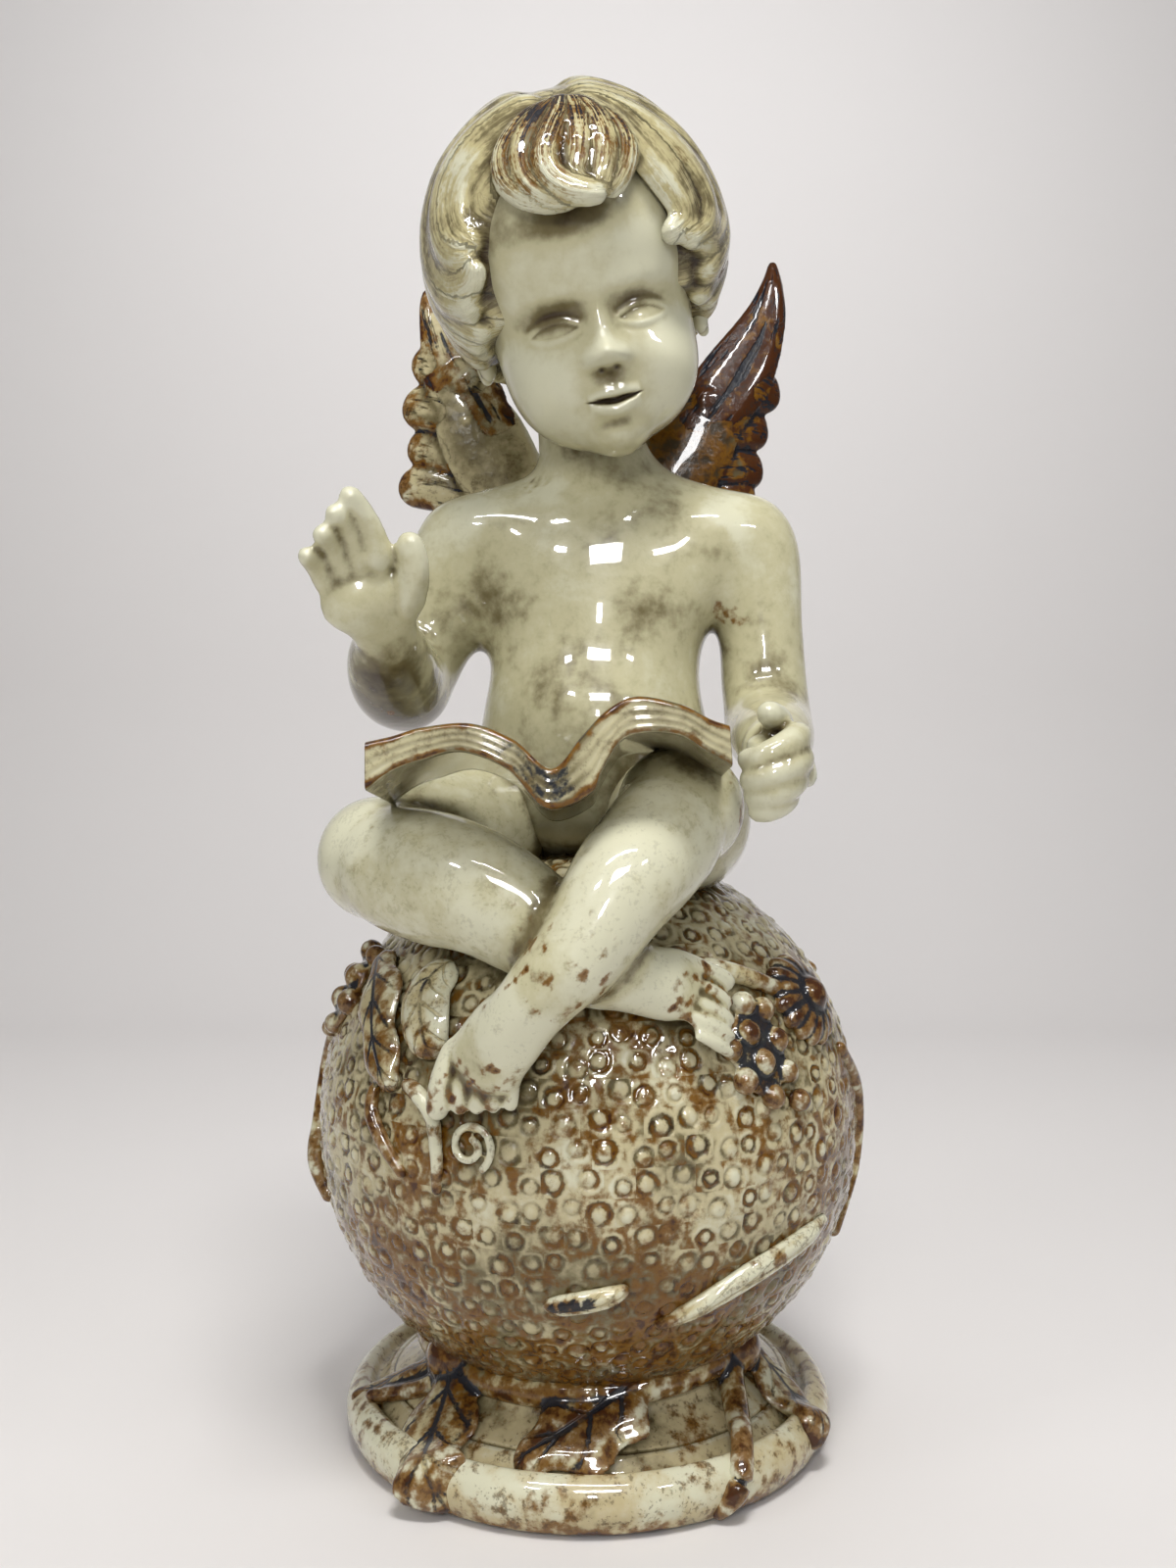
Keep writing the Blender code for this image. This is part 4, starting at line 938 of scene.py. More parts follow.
rightArm = (
    (60, 6, 172, 24), (83, 4, 161, 26), (89, 1, 122, 22.5), (91, -2, 90, 22.5), (92.5, -9, 68, 22.5),
    (91, -30, 62, 22), (89, -55, 58, 19.5), (85, -78, 54, 16), (83, -92, 50, 14),
)
leftArm = (
    (-45, 6, 172, 24), (-63, 4, 162, 26.5), (-77, 4, 125, 23.5), (-89, 2, 98, 23), (-93, -9, 87, 23.5),
    (-95, -35, 90, 23.5), (-94, -62, 97, 20.5), (-92, -82, 103, 16.5), (-94, -94, 109, 15),
)
openPalm = (
    (-93, -84, 101, 15), (-94, -93, 109, 19), (-97, -99, 118, 22), (-100, -101, 128, 22), (-101, -102, 138, 19),
)
openFingers = (
    ((-92, -104, 131, 8), (-95, -110, 146, 6.6), (-100, -117, 157, 5.6), (-105, -124, 164, 4.6)),
    ((-99, -104, 130, 8), (-103, -110, 143, 6.4), (-107, -118, 151, 5.4), (-110.5, -126, 155, 4.4)),
    ((-106, -104, 127, 7.5), (-111, -110, 138, 6), (-113.5, -118, 143.5, 5.2), (-115, -126, 145, 4.3)),
    ((-113, -103, 122, 7), (-118, -108, 131, 5.6), (-121, -115, 135, 4.8), (-123, -122, 136.5, 3.9)),
    ((-80, -92, 112, 10), (-77, -102, 126, 8.5), (-77.5, -108, 139, 6.8), (-80, -112, 147.5, 5)),
)
closedPalm = ((85, -78, 54, 15), (87, -92, 50, 17), (86, -104, 45, 19), (84, -110, 41, 15))
closedFingers = (
    ((95, -100, 60, 7), (88, -114, 55, 6.6), (76, -117, 49, 6), (66, -110, 47, 4.8)),
    ((96, -100, 50, 7), (89, -115, 45, 6.6), (77, -118, 40, 6), (67, -110, 38.5, 4.8)),
    ((94, -99, 41, 6.6), (88, -113, 36, 6.2), (78, -116, 32, 5.6), (69, -109, 31, 4.6)),
    ((91, -98, 33, 6), (85, -109, 28, 5.6), (78, -112, 25, 5.1), (71, -107, 25, 4.3)),
    ((88, -88, 60, 8), (84, -99, 66, 7), (80, -107, 68, 6), (78, -112, 67, 5)),
)
leftThigh = ((-30, 10, 18, 36), (-52, -12, 16, 38), (-72, -34, 12, 36), (-90, -52, 7, 31), (-101, -62, 4, 27))
leftShin = ((-101, -60, 4, 27), (-88, -80, -1, 29), (-66, -98, -6, 30), (-43, -110, -13, 27))
rightThigh = ((40, 10, 20, 40), (42, -20, 18, 39), (44, -50, 20, 35), (45, -72, 24, 31), (43, -88, 26, 28.5))
rightShin = ((43, -88, 26, 28), (36, -104, 18, 27), (26, -118, 6, 26), (14, -133, -7, 24.5))
# ankles and soles lie on the orb: azimuth, elevation, lift, half-width
leftAnkle = (
    (0, 37, 17, 21), (6, 35.5, 14, 17.5), (11, 34, 12.5, 15.5), (15.5, 32.5, 10.5, 14), (19.5, 31, 8, 12),
)
rightAnkle = (
    (-1.5, 34, 38, 19.5), (-7, 29.5, 32, 17), (-11, 26, 24.5, 15.5), (-14.5, 22.5, 17, 14.5),
    (-17.5, 19.5, 10, 12),
)
leftSole = ((8, 37, 13, 15), (13, 34.5, 12, 17), (18, 32, 10.5, 17.5), (22, 29.5, 8.5, 16.5))
rightSole = (
    (-8, 28, 29, 15.5), (-13, 24.5, 22, 18), (-17, 21, 14, 18.5), (-19.5, 18, 8.5, 19), (-20.5, 16, 5, 17.5),
)


# Ellipsoids of flesh from (middle, half-sizes) pairs
def fleshBalls(places):
    return [ball(figureRows([middle])[0], np.array(size) * mm, 36) for middle, size in places]


# Toes side by side from first to last, two places on the orb, the big one first; each is drawn along point
def toes(first, last, lift, point, girth):
    made = []
    for share, size in ((0, 1.45), (0.31, 1.05), (0.55, 1), (0.77, 0.93), (1, 0.85)):
        a, e = np.array(first) + (np.array(last) - first) * share
        rows = [
            (a + ahead * point[0] * size, e + ahead * point[1] * size, lift + rise, radius * size * girth)
            for ahead, rise, radius in ((-7, 6.5, 4.4), (-3, 6, 4.5), (0.6, 3, 4.4), (2.6, 0.2, 3.5))
        ]
        made.append(limb(orbRows(rows), 18, 16))
    return made


# Painted shadow on the neck under the chin; the glaze is also darker on the belly and down the arm at the
# right, and darker and browner under the forearms
def makeBody():
    rows = curveThrough(figureRows(torso), 80)
    shapes = [swept(rows[:, :3], rows[:, 3], rows[:, 4], (0, -1, 0), 72), limb(figureRows(shoulders), 40, 32)]
    shapes += fleshBalls(fleshFills)
    shapes += [limb(figureRows(rows), 64, 36) for rows in (rightArm, leftArm)]
    for palm, fingers in ((openPalm, openFingers), (closedPalm, closedFingers)):
        shapes.append(strap(figureRows(palm), 9 * mm, (0.2, -1, 0.1), 28, 24))
        shapes += [limb(figureRows(rows), 24, 16) for rows in fingers]
    piece = fused("body", shapes, 0.0016, 5)
    mesh = piece.data
    softened(mesh, awayFrom(pointsOf(mesh), figureRows(skin["hands"])), 220)
    spots = pointsOf(mesh)
    underForearm = blotches(spots, figureRows(skin["underForearms"]), 0.25, 6)
    warm = blotches(spots, figureRows(skin["warm"]), 0.5, 2)
    # Painted shadow on the neck under the chin
    chinShadow = blotches(spots, headRows(skin["chinShadow"]), 0.1)
    belly = blotches(spots, figureRows(skin["belly"]), 0.3, 5)
    chip = blotches(spots, figureRows(skin["chip"]), 0.5, 4)
    right = np.clip((spots[:, 0] - 0.05) / 0.03, 0, 1)
    depth = glazeDepthAndShade(mesh, hollows(mesh, (6, 60)), (0.35, 0.09, 2.0), 0.2, 0.16, figureRows(skin["clear"]))
    depth = depth + 0.14 * wobble(spots, 0.07, 3) + 0.18 * chinShadow + 0.17 * belly + 0.15 * right + 0.95 * underForearm
    depth = depth + chip
    put(mesh, depth=depth, ochre=0.75 * warm - 0.45 + 0.1 * underForearm, ink=0 * depth - 0.5)
    dressed(piece, glazed("skinGlaze", 0.4, 0.05, 0.0008))


makeBody()


legGlaze = {  # places on the orb: azimuth, elevation, lift, radius
    "toes": ((-20, 12.5, 6, 21), (28, 28, 8, 18)),  # left crisp
    "feet": ((-19, 15, 12, 34), (22, 30, 12, 36)), "shin": ((-6, 30, 45, 40),),
    "knee": ((66, -88, 28, 17),),  # x, y, z, radius
}


# The feet and the shin in front are flecked with ochre, and the knee at the right has a warm stain
def makeLegs():
    shapes = [limb(figureRows(rows), 48, 36) for rows in (leftThigh, rightThigh)] + fleshBalls(knees)
    for shin, ankle, sole in ((leftShin, leftAnkle, leftSole), (rightShin, rightAnkle, rightSole)):
        shapes.append(limb(np.concatenate([figureRows(shin), orbRows(ankle)]), 64, 36))
        rows = curveThrough(orbRows(sole), 32)
        shapes.append(swept(rows[:, :3], rows[:, 3], rows[:, 3] * 0.62, rows[:, :3] - orbCentre, 28))
    shapes += toes((-26.5, 13.5), (-13, 14.5), 6, (-0.2, -1), 0.86)
    shapes += toes((27.5, 34.5), (25, 21.5), 7, (1.15, -0.45), 0.78)
    piece = fused("legs", shapes, 0.00155, 3)
    mesh = piece.data
    softened(mesh, awayFrom(pointsOf(mesh), orbRows(legGlaze["toes"])), 70)
    spots = pointsOf(mesh)
    feet = blotches(spots, orbRows(legGlaze["feet"]), 0.3, 5)
    shin = blotches(spots, orbRows(legGlaze["shin"]), 0.3, 5)
    warm = blotches(spots, figureRows(legGlaze["knee"]), 0.5, 2)
    flecks = np.clip(wobble(spots, 0.009, 7) - 0.15, 0, 1) * np.clip(feet + 0.8 * shin, 0, 1)
    depth = glazeDepthAndShade(mesh, hollows(mesh, (6, 60)), (0.7, 0.2, 2.4), 0.22) + 0.12 * wobble(spots, 0.07, 4)
    ochre = np.maximum(warm * 0.9, flecks * 1.7) - 0.3 + 0.4 * feet + 0.28 * shin
    put(mesh, depth=depth + 0.1 * feet + 0.16 * shin, ochre=ochre, ink=0 * depth - 0.5)
    dressed(piece, glazed("legGlaze", 0.46, 0.14, 0.0007))


makeLegs()


# Wings: overlapping feather lobes with veins that fan out to their round ends

leftFeathers = (  # x, y, z, half-width
    ((-62, 50, 258, 8), (-86, 62, 273, 13), (-99, 66, 279, 12.5)),
    ((-60, 50, 236, 8), (-88, 60, 248, 13.5), (-105, 66, 252, 13)),
    ((-57, 50, 214, 8), (-86, 60, 225, 12.5), (-102, 66, 229, 12)),
    ((-50, 48, 190, 8), (-84, 58, 202, 12.5), (-107, 64, 207, 12)),
    ((-56, 50, 232, 20), (-74, 58, 266, 19), (-85, 64, 294, 11), (-90, 66, 308, 6), (-92, 67, 318, 2)),
)
rightFeathers = (
    ((58, 50, 248, 8), (90, 60, 258, 13), (109, 66, 256, 12.5)),
    ((56, 50, 228, 8), (86, 60, 236, 12.5), (102, 66, 234, 12)),
    ((54, 50, 206, 8), (82, 58, 214, 12), (99, 66, 212, 11)),
    ((50, 48, 190, 7), (80, 58, 200, 9), (94, 64, 198, 8)),
    ((76, 56, 262, 9), (98, 64, 284, 12), (105, 67, 292, 11)),
    ((60, 50, 235, 20), (84, 58, 268, 20), (99, 64, 298, 13), (104, 66, 318, 7), (105, 67, 334, 2)),
)
coverts = ((20, 40, 165, 14), (40, 46, 195, 22), (60, 52, 232, 24), (76, 58, 262, 14))
wings = {"featherDepth": 6.5, "covertDepth": 7, "faces": (0, -1, 0.1)}


# Dark streaks sunk into the feathers, none on the coverts
def veins(place, depth, ochre, ink):
    lines = streaks(place.tree, 3.5).ranged(0.52, 0.66, (0, 0.75)) * attribute(place.tree, "mask")
    return lines * 0.5 + depth, ochre, ink + lines, lines * -0.5


# Ochre on the rims of the feathers and over the right wing, ink in the clefts
def makeWings():
    feathers = [figureRows(rows) for rows in leftFeathers + rightFeathers]
    sleeves = [figureRows(np.array(coverts, float) * [side, 1, 1, 1]) for side in (-1, 1)]
    shapes = [strap(rows, wings["featherDepth"] * mm, wings["faces"], 48, 36, (7, 0.03)) for rows in feathers]
    shapes += [strap(rows, wings["covertDepth"] * mm, wings["faces"], 40, 28) for rows in sleeves]
    paths = [curveThrough(rows, 40) for rows in feathers + sleeves]
    piece = fused("wings", shapes, 0.0012, 3)
    mesh = piece.data
    spots = pointsOf(mesh)
    which, along, aside, _ = lieAlong(spots, paths, [wings["faces"]] * len(paths))
    feather, right = which < len(feathers), spots[:, 0] > 0
    blade = np.isin(which, (len(leftFeathers) - 1, len(feathers) - 1))
    rim = np.clip((np.maximum(abs(aside), along * 1.02) - 0.5) / 0.35, 0, 1) * feather
    dips = hollows(mesh, (4, 30))
    depth = glazeDepthAndShade(mesh, dips, (0.8, 0.3, 1.2), 0.48) + 0.7 * right
    ochre = rim * (0.8 + 0.4 * wobble(spots, 0.012, 5)) + right * (0.75 + 0.4 * wobble(spots, 0.02, 8))
    ochre = ochre + blade * (0.45 + 0.3 * wobble(spots, 0.015, 3)) - 0.2 * (1 - feather) - 0.12
    ink = np.clip(dips[0] * 4, -0.3, 1) * 0.8 + 0.36 * right + 0.2 * blade - 0.13
    put(mesh, depth=depth, ochre=ochre, ink=ink, along=along * 3, aside=aside, which=which, mask=feather)
    dressed(piece, glazed("wingGlaze", 0.4, 0.35, 0.0018, (0.48, 0.42, 0.25, 1), coat=0.5, extra=veins))


makeWings()


# Book: one curved slab of pages, its section a rounded rectangle with page lines scored in the edges

book = {"spineX": -15.5, "spineY": -115, "length": 80, "drop": 7, "pages": 3, "score": 0.3, "corner": 2.6}
bookEnds = (  # x and z of the upper face, then of the lower face, from the left fore-edge to the right one
    (-90.8, 54.1, -90.8, 34.6), (-80, 56.5, -80, 42.5), (-67.7, 60.1, -67.7, 47), (-47.8, 61.7, -51.8, 50.5),
    (-30, 55, -32.8, 43), (-15, 43.5, -17.1, 27), (-3, 56, 1, 33), (8, 67.5, 6, 43), (19.9, 72.8, 15.9, 56.5),
    (38, 69.5, 35.8, 57.5), (50, 63.5, 49, 50), (57.7, 60.9, 58.9, 44.5),
)


# The fore-edges are burnt, and ink gathers in the valley of the spine and on the near edge at the left
def makeBook():
    rows = curveThrough(bookEnds, 170)
    half = book["length"] / 2
    # round the section t is 0 on the lower face and 1 on the upper, y is -1 at the near edge, 1 at the far one
    edge = np.linspace(0, 1, 34)
    flat = np.linspace(0, 1, 22)[1:-1]
    t = np.concatenate([edge, 0 * flat + 1, edge[::-1], 0 * flat])
    y = np.concatenate([0 * edge - 1, -1 + 2 * flat, 0 * edge + 1, 1 - 2 * flat])
    thick = np.linalg.norm(rows[:, [0, 1]] - rows[:, [2, 3]], axis=1)[:, None]
    near = np.clip(1 - np.minimum(t, 1 - t) * thick / book["corner"], 0, 1)
    inset = book["corner"] * (1 - np.sqrt(1 - near**2))
    score = book["score"] * (0.5 + 0.5 * np.cos(2 * np.pi * (book["pages"] + 1) * t)) * (t > 0.12) * (t < 0.88)
    reach = half - (inset + score) * (abs(y) == 1)
    x = rows[:, :1] * t + rows[:, 2:3] * (1 - t)
    z = rows[:, 1:2] * t + rows[:, 3:4] * (1 - t)
    rings = np.stack([x, book["spineY"] + y * reach, z - (y + 1) / 2 * book["drop"]], -1)
    piece = pieceFrom("book", meshFrom("book", [closedGrid(seat + rings * mm)]))
    mesh = piece.data
    spots = pointsOf(mesh)
    local = (spots - seat) / mm
    across = np.concatenate([np.broadcast_to(t, (len(rows), len(t))).ravel(), [0.5, 0.5]])
    nearEdge = np.clip((book["spineY"] - half + 3 - local[:, 1]) / 2, 0, 1)
    edges = np.clip((0.24 - np.minimum(across, 1 - across)) / 0.16, 0, 1) * nearEdge
    valley = ridge(local[:, 0] - book["spineX"], 14)
    gilt = (0.8 * ridge(local[:, 0] + 42, 22) + valley) * nearEdge
    depth = glazeDepthAndShade(mesh, hollows(mesh, (3, 24)), (1.3, 0.2, 0.6), 0.34) + 0.35 * valley
    ochre = edges * (0.72 + 0.45 * wobble(spots, 0.014, 3))
    ink = gilt * (0.62 + 0.5 * wobble(spots, 0.006, 6)) * (1 - 0.5 * edges)
    put(mesh, depth=depth, ochre=ochre - 0.12, ink=ink - 0.15)
    dressed(piece, glazed("bookGlaze", 0.4, 0.25, 0.0005, (0.47, 0.43, 0.27, 1)))


makeBook()


# Orb: rows of raised rings. Row r lies at elevation r * rowStep; a cell of it is one ring, its middle shifted a
# little by sines of its numbers, and the ring's relief is a function of the distance from that middle.

orb = {
    "rowStep": 12.4, "columnStep": 13.4, "shift": 2.2, "radius": 3.9,
    "dome": 0.85, "groove": 0.75, "rim": 0.35, "ground": 0.35,
}
amber = (  # warm places: azimuth, elevation, lift, radius
    (6, 20, 0, 42), (-32, 2, 0, 30), (38, 2, 0, 34), (-50, -22, 0, 40), (20, -30, 0, 40), (62, -2, 0, 55),
)


# Distance in millimetres from the middle of the cell's ring, scaled so that all rings have one radius
def ringDistance(azimuth, elevation):
    big = statue["orbRadius"] / mm
    climb = np.radians(elevation) * big
    row = np.round(climb / orb["rowStep"])
    level = row * orb["rowStep"] / big
    count = np.maximum(np.round(2 * np.pi * big * np.cos(level) / orb["columnStep"]), 1)
    place = np.radians(azimuth) / (2 * np.pi) * count + row * 0.37
    column = np.round(place)
    dx = (place - column) / count * 2 * np.pi * big * np.cos(level)
    dy = climb - row * orb["rowStep"]
    dx = dx - orb["shift"] * np.sin(3.1 * row + 2.3 * column)
    dy = dy - orb["shift"] * np.sin(1.3 * row - 1.9 * column + 1)
    return np.sqrt(dx**2 + dy**2) * (1 + 0.18 * np.sin(2.1 * row - 4.3 * column))


# Relief of one ring: a low dome, a groove round it, a faint rim outside, then the ground
def ringRelief(away):
    dome = np.clip(1 - (away / orb["radius"]) ** 2, 0, 1)
    groove = ridge(away - orb["radius"], 0.9)
    rim = ridge(away - orb["radius"] - 1.7, 1.1)
    return orb["dome"] * dome - orb["groove"] * groove + orb["rim"] * rim


# The same rings in the shader: deep, burnt glaze stands in each groove, worn uneven by noise, and a little of
# it on the ground outside
def rings(place, depth, ochre, ink):
    big = statue["orbRadius"] / mm
    parts = node(place.tree, "SeparateXYZ", "X", {"Vector": place})
    x, y, z = (parts.other(name) for name in "XYZ")
    climb = (z - float(orbCentre[2])).maths("ARCTAN2", (x * x + y * y).maths("SQRT")) * big
    row = (climb / orb["rowStep"]).maths("ROUND")
    girth = (row * (orb["rowStep"] / big)).maths("COSINE") * (2 * math.pi * big)
    count = (girth / orb["columnStep"]).maths("ROUND").maths("MAXIMUM", 1)
    spot = row * 0.37 + x.maths("ARCTAN2", y * -1) / (2 * math.pi) * count
    column = spot.maths("ROUND")

    def sine(byRow, byColumn, start=0.0):
        return (row * byRow + start + column * byColumn).maths("SINE")

    # exp(-((value - middle) / wide) ** 2)
    def hump(value, middle, wide):
        gap = (value - middle) / wide
        return (gap * gap * -1).maths("EXPONENT")

    dx = (spot - column) / count * girth - sine(3.1, 2.3) * orb["shift"]
    dy = climb - row * orb["rowStep"] - sine(1.3, -1.9, 1) * orb["shift"]
    away = (dx * dx + dy * dy).maths("SQRT") * (sine(2.1, -4.3) * 0.18 + 1)
    worn = (noise(place, 260, 3) - 0.5) * 3.4 + away
    patchy = noise(place, 80, 4).ranged(0.38, 0.62, (0.15, 1.4))
    line = hump(worn, orb["radius"], 1.15) * (sine(5.1, 3.7) * 0.38 + 0.72) * patchy
    ground = worn.ranged(6, 8.5) * patchy
    height = hump(away, orb["radius"], 0.8) * -0.5 + hump(away, orb["radius"] + 1.8, 1.2) * 0.15
    return line * 1.05 + ground * 0.28 + depth, line * 0.35 + ground * 0.25 + ochre, ink, height


# Darker and browner towards the bottom, warmer in the amber places, and painted shade where other forms close
# in
def makeOrb():
    azimuth = packed(-180, 180, 371, 0, 75, 2.2)[:-1]
    elevation = packed(-80, 84, 196, 0, 60, 0.6)
    azimuth, elevation = np.meshgrid(azimuth, elevation)
    lift = (ringRelief(ringDistance(azimuth, elevation)) - orb["ground"]) * mm
    lift = lift + 0.8 * mm * wobble(onOrb(azimuth, elevation).reshape(-1, 3), 0.04, 8).reshape(lift.shape)
    piece = pieceFrom("orb", meshFrom("orb", [closedGrid(onOrb(azimuth, elevation, lift[..., None]))]))
    spots = pointsOf(piece.data)
    under = np.clip((orbCentre[2] - spots[:, 2]) / statue["orbRadius"], 0, 1)
    # Painted shade where other forms close in; darker and browner towards the bottom
    crowd = np.clip(crowding(spots) - 0.5, -0.1, 0.5)
    depth = 0.14 + 1.6 * crowd + 0.25 * wobble(spots, 0.06, 3) + 0.62 * under
    ochre = 0.3 * wobble(spots, 0.05, 5) + 0.45 * under + 0.06 + 0.26 * blotches(spots, orbRows(amber), 0.4, 6)
    put(piece.data, depth=depth, ochre=ochre, ink=0 * depth - 0.35)
    dressed(piece, glazed("orbGlaze", 0.5, 0.2, cream=(0.50, 0.44, 0.27, 1), extra=rings))


makeOrb()


# What grows over the orb: grapes, a rosette, leaves, vines and a coiled tendril

grapes = (  # azimuth, elevation, share of a berry's size
    (-80, 37, 1.0), (-70, 37, 0.9), (-73, 31.5, 1.2), (-82, 31, 1.0), (-78, 26, 1.1), (-69, 26.5, 1.1),
    (-85, 25, 0.9), (-75, 21, 0.9), (-81, 19, 0.8),
    (35, 30, 1.0), (34, 24.5, 1.0), (41, 22.5, 1.0), (29, 22, 0.9), (36, 19, 1.0), (42, 16.5, 0.9),
    (31, 16, 1.0), (37, 12.5, 0.95), (40, 28.5, 1.0), (44, 11, 0.9),
)
grapeBeds = ((-76, 28, 17), (36, 21, 16))  # azimuth, elevation, radius
rosette = {
    "at": (56, 29), "reach": 23, "petals": 15, "heart": 10, "lift": 4, "thick": 4.2,
    "petal": ((0.3, -1, 3.4), (0.65, 1, 4.8), (1.0, 6, 3)),  # share of the reach, drop, half-width
}
orbLeaves = (  # paths of (azimuth, elevation, lift, half-width), with how many lobes
    (((-63, 38, 2, 6), (-54, 31, 3, 15), (-47, 22, 3, 14), (-40, 13, 2, 6)), 3),
    (((-34, 39, 2, 9), (-37, 32, 4, 13), (-34, 25, 4, 12), (-31, 20, 1, 7)), 0),
    (((14, -30, 0, 2.5), (22, -25.5, 1.5, 4.5), (33, -20, 2, 6), (46, -16, 1.5, 5), (56, -14, 0, 2.5)), 0),
    (((-9, -24, 0, 2.5), (-4, -23, 1.5, 5), (3, -21.5, 1.5, 5), (8, -20, 0, 2.5)), 0),
    (((150, 30, 1, 6), (163, 22, 3, 15), (172, 10, 3, 14), (178, -2, 2, 5)), 3),
)
orbVines = (
    ((-46, 14, 0, 3), (-45, 9, 2, 3.5), (-41, 4, 2, 3.5), (-36, -2, 0, 2.5)),
    ((-38, 15, 0, 3), (-34, 14, 2.5, 4), (-29.5, 10, 2.5, 3.5), (-28, 3, 2, 3), (-28.5, -4, 0, 2.5)),
    ((26, 40, 0, 3), (31, 37.5, 3, 4.5), (39, 35, 3, 4.5), (50, 31, 2, 4)),
    ((-84, 20, 0, 3.5), (-90, 10, 0, 4), (-88, -2, 1, 4.5), (-82, -9, 3, 5), (-74, -16, 0, 3.5)),
    ((68, 18, 0, 3.5), (80, 6, 0, 4), (82, -10, 0, 4), (74, -24, 0, 3.5)),
    ((95, 30, 1, 4), (120, 36, 2, 4.5), (140, 34, 2, 4.5), (152, 28, 1, 4)),
)
tendril = {"at": (-21.5, 5.6), "coil": 4.0, "lift": 1.5, "radius": 1.9}  # the coil's radius in degrees
orbPale = (  # azimuth, elevation, lift, radius
    (-35, 30, 0, 30), (-29, 8, 0, 26), (30, -20, 0, 40), (45, -16, 0, 24), (35, 34, 0, 16), (0, -22, 0, 26),
    (-21, 6, 0, 22),
)
leafSlit = ((-7, -22.5, 6, 5.2), (-4.7, -22.1, 6, 5.2), (-2.4, -21.7, 6, 5.2), (0, -21.2, 6, 5.2))
leafDepth = 4.5


# A path whose half-width is drawn in by a cosine between the lobes
def lobed(rows, lobes, count=60):
    rows = curveThrough(rows, count)
    along = np.linspace(0, 1, count)
    rows[:, 3] *= 1 - 0.28 * (lobes > 0) * (0.5 + 0.5 * np.cos(2 * np.pi * (lobes + 0.5) * along))
    return rows


# Leaves set by placed: their shapes, their paths and which way outOf says that each faces
def leafShapes(leaves, placed, outOf):
    paths = [lobed(placed(rows), lobes) for rows, lobes in leaves]
    outwards = [outOf(rows) for rows in paths]
    shapes = [flattened(rows, leafDepth * mm, out, 32, (6, 0.05)) for rows, out in zip(paths, outwards)]
    return shapes, paths, outwards


# Side veins that leave the midrib slantwise: darker and lower where along - 0.16 * |aside| passes a vein
def leafVeins(place, depth, ochre, ink):
    along, aside, leaf = (attribute(place.tree, name) for name in ("along", "aside", "mask"))
    side = aside.maths("ABSOLUTE")
    vein = ((side * -0.16 + along) * 44).maths("SINE").ranged(0.75, 1) * side.ranged(1, 0.7)
    line = vein.maths("MAXIMUM", side.ranged(0.11, 0.03)) * leaf
    return line * 0.3 + depth, ochre, line * 0.5 + ink, line * -0.8


growthGlaze = glazed("growthGlaze", 0.6, 0.4, cream=(0.48, 0.41, 0.23, 1), extra=leafVeins)


# Colour of leaves and berries: burnt on the ridges, near black in the clefts, and less of both where pale
def paintGrowth(piece, paths, outwards, moreOchre, moreInk, pale):
    mesh = piece.data
    spots = pointsOf(mesh)
    _, along, aside, away = lieAlong(spots, paths, outwards)
    leaf = np.clip(2.4 - 2 * away, 0, 1)
    near, far = hollows(mesh, (4, 26))
    depth = glazeDepthAndShade(mesh, (near, far), (0.8, 0.35, 1.0), 0.4) - 0.1 * pale
    ochre = 0.34 + 0.3 * np.clip(-far, 0, 1) + 0.3 * wobble(spots, 0.012, 5) + moreOchre - 0.55 * pale
    cleft = np.clip(near * 4 + 0.5 * far, -0.4, 1)
    ink = 0.44 + 0.9 * cleft + 0.34 * wobble(spots, 0.02, 7) + moreInk - 0.45 * pale
    put(mesh, depth=depth, ochre=ochre, ink=ink, along=along, aside=aside, mask=leaf)
    dressed(piece, growthGlaze)


# The rosette: a ball with a ring of petals, each turned down at its tip
def rosetteShapes():
    middle, normal = onOrb(*rosette["at"], rosette["lift"] * mm), direction(*rosette["at"])
    side = unit(np.cross(normal, (0, 0, 1)))
    shapes = [ball(middle, np.full(3, rosette["heart"] * mm))]
    for turn in np.linspace(0, 2 * math.pi, rosette["petals"], endpoint=False):
        along = math.cos(turn) * side + math.sin(turn) * np.cross(side, normal)
        share, drop, wide = np.array(rosette["petal"]).T[..., None]
        places = middle + (along * rosette["reach"] * share - normal * drop) * mm
        shapes.append(strap(np.column_stack([places, wide * mm]), rosette["thick"] * mm, normal, 16, 14))
    return shapes


# The tendril: azimuth and elevation run round a circle that closes in
def tendrilShape():
    turn = np.linspace(-1.2, 2.6 * math.pi, 60)
    spread = tendril["coil"] * np.linspace(1.15, 0.25, 60)
    a, e = tendril["at"]
    coil = [a + spread * np.cos(turn), e + spread * np.sin(turn), 0 * turn + tendril["lift"]]
    path = orbRows(np.stack(coil, -1))
    size = np.full(60, tendril["radius"] * mm)
    return swept(path, size, size, path - orbCentre, 14)


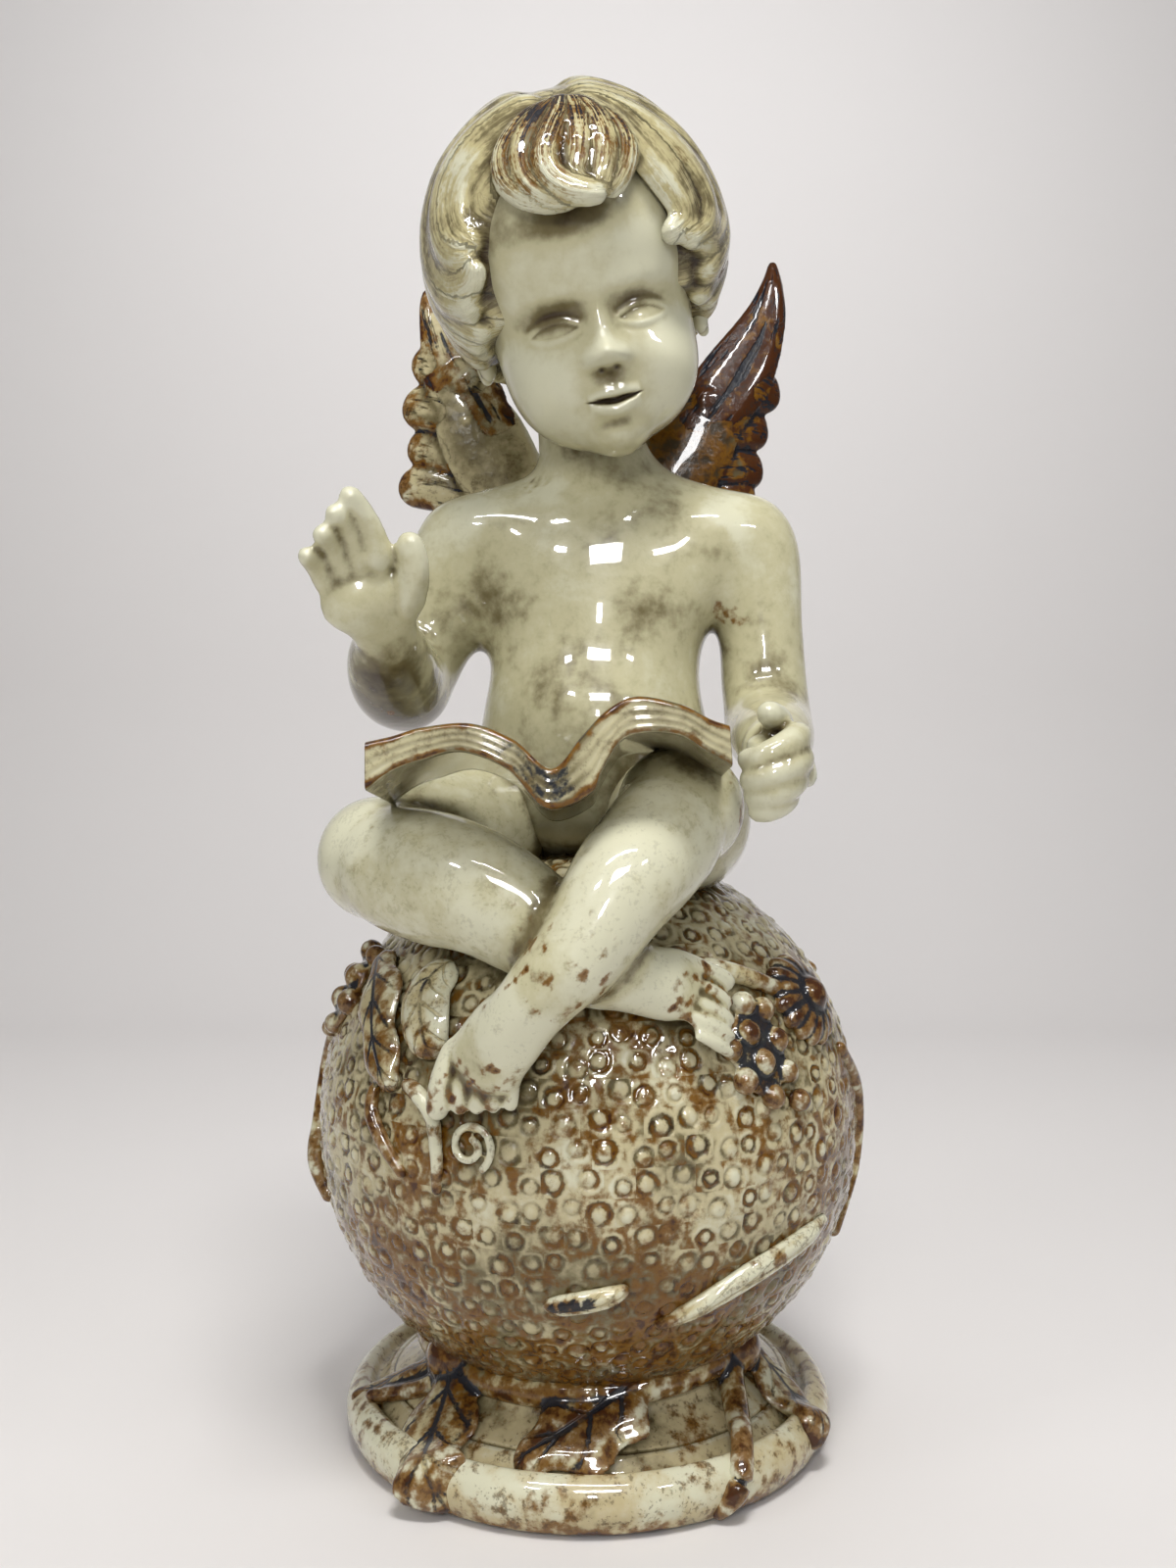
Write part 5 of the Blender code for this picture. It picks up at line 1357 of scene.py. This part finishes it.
# Pale at the placed spots, ink in the rosette and along the slit of the small leaf
def makeOrbGrowth():
    berry = statue["berry"]
    shapes = [ball(onOrb(a, e, berry * 0.32), np.full(3, berry * share), 20) for a, e, share in grapes]
    for a, e, reach in grapeBeds:
        turn = np.stack([direction(a + 90, 0), -direction(a, e), direction(a, e + 90)], -1)
        shapes.append(ball(onOrb(a, e), np.array([reach, 3.2, reach * 1.25]) * mm, 32, turn))
    leaves, paths, outwards = leafShapes(orbLeaves, orbRows, lambda rows: rows[:, :3] - orbCentre)
    shapes += rosetteShapes() + leaves + [limb(orbRows(rows), 40, 16) for rows in orbVines] + [tendrilShape()]
    piece = fused("orb_vines", shapes, 0.0012, 3)
    spots = pointsOf(piece.data)
    pale = blotches(spots, orbRows(orbPale), 0.3, 5)
    flower = blotches(spots, orbRows([(*rosette["at"], 0, 26)]), 0.1)
    slit = blotches(spots, orbRows(leafSlit), 0.1)
    paintGrowth(piece, paths, outwards, 0.45 * flower + 0.5 * slit, 0.45 * flower + 1.1 * slit, pale)


makeOrbGrowth()


# Foot: a rounded rim, a groove and a mound, carried round the axis, with a thin line engraved inside the rim

engraved = ((0.1002, 0.0267), (0.0994, 0.0262), (0.0986, 0.0276), (0.0975, 0.0283))  # radius and height
footTop = 0.050


# The lower edge of the rim is darker and browner
def makeFoot():
    under = [(0.001, 0), (0.05, 0), (0.1, 0), (0.1135, 0)]
    outside = curveThrough(footProfile[:8], 70)
    mound = curveThrough(np.concatenate([engraved[-1:], footProfile[8:]]), 24)
    top = [(branchRadius * 0.6, footTop), (0.001, footTop)]
    profile = np.concatenate([under, outside, engraved[:-1], mound, top])
    piece = pieceFrom("foot", meshFrom("foot", [turned(profile, 270)]))
    mesh = piece.data
    spots = pointsOf(mesh)
    low = np.clip(1 - spots[:, 2] / 0.010, 0, 1)
    depth = glazeDepthAndShade(mesh, hollows(mesh, (3, 20)), (0.5, 0.2, 0.5), 0.06)
    depth = depth + 0.5 * low + 0.24 * wobble(spots, 0.04, 2)
    ochre = 0.42 * wobble(spots, 0.035, 4) + 0.08 + 0.9 * low * (0.7 + wobble(spots, 0.03, 6))
    put(mesh, depth=depth, ochre=ochre, ink=0 * depth - 0.4)
    dressed(piece, glazed("footGlaze", 0.5, 0.5, cream=(0.50, 0.425, 0.25, 1)))


makeFoot()

footLeaves = (  # paths of (azimuth, reach, lift, half-width), with how many lobes
    (((-52, 0.98, 3, 8), (-46, 0.80, 4, 17), (-40, 0.52, 4, 21), (-35, 0.27, 3, 19), (-31, 0.06, 1, 9)), 3),
    (((20, 0.99, 4, 6), (12, 0.93, 6, 19), (3, 0.82, 7, 27), (-5, 0.71, 6, 23), (-13, 0.60, 4, 13),
      (-18, 0.53, 1, 3)), 4),
    (((72, 0.97, 3, 8), (70, 0.76, 4, 15), (66, 0.52, 4, 16), (62, 0.30, 3, 11), (60, 0.16, 1, 5)), 3),
    (((-57, 0.95, 2, 5), (-68, 0.75, 3, 9), (-74, 0.52, 3, 9), (-76, 0.3, 1, 4)), 2),
    (((160, 0.98, 3, 7), (168, 0.78, 4, 15), (176, 0.50, 4, 15), (182, 0.22, 2, 7)), 3),
)
footTwigs = (
    ((58, 1.0, 3, 6), (52, 0.85, 4, 6.5), (44, 0.66, 4, 6), (37, 0.42, 4, 5.5), (32, 0.20, 3, 5.5),
     (28, 0.03, 1, 4)),
    ((-54, 1.0, 3, 5), (-57, 0.8, 3, 4.5), (-66, 0.62, 3, 4), (-70, 0.4, 2, 3)),
)
# azimuth, reach, lift, radius
knobs = ((-54, 0.99, 4, 13), (62, 1.0, 4, 14), (-110, 1.0, 4, 11), (130, 1.0, 4, 12))
rusty = knobs + ((-2, 0.82, 4, 16), (10, 0.95, 4, 10))


# The branch that runs round the mound, a slow wave in its reach and its height, in two overlapping lengths
def branchShapes():
    turn = np.linspace(0, 2 * np.pi, 193)[:-1]
    reach = branchRadius * 1.02 * (1 + 0.02 * np.sin(3 * turn + 1))
    height = statue["moundHeight"] + 0.002 * np.sin(2 * turn)
    ring = np.stack([reach * np.sin(turn), -reach * np.cos(turn), height], -1)
    shapes = []
    for half in (ring[:100], np.concatenate([ring[96:], ring[:4]])):
        size = np.full(len(half), statue["branch"])
        shapes.append(swept(half, size, size, (0, 0, 1), 20))
    return shapes


# Rust on the knobs and the middle leaf, and the twig at the right paler
def makeFootGrowth():
    tilt = np.array([0, 0, statue["footRadius"]])
    leaves, paths, outwards = leafShapes(footLeaves, footRows, lambda rows: rows[:, :3] * [0.8, 0.8, 0] + tilt)
    shapes = branchShapes() + leaves + [limb(footRows(rows), 40, 16) for rows in footTwigs]
    shapes += [ball(middle, np.full(3, radius), 28) for *middle, radius in footRows(knobs)]
    piece = fused("foot_branches", shapes, 0.0013, 3)
    spots = pointsOf(piece.data)
    rust = blotches(spots, footRows(rusty) * [1, 1, 1, 1.5], 0.1)
    angle = np.degrees(np.arctan2(spots[:, 0], -spots[:, 1]))
    reach = np.hypot(spots[:, 0], spots[:, 1])
    pale = np.clip(0.35 + 1.2 * wobble(spots, 0.03, 11), 0, 1) * (1 - rust)
    twig = ridge(angle - 38, 14) * np.clip((reach - 0.085) / 0.015, 0, 1)
    paintGrowth(piece, paths, outwards, 0.15 + 0.35 * rust, -0.2 * rust, np.maximum(0.38 * pale, 0.3 * twig))


makeFootGrowth()
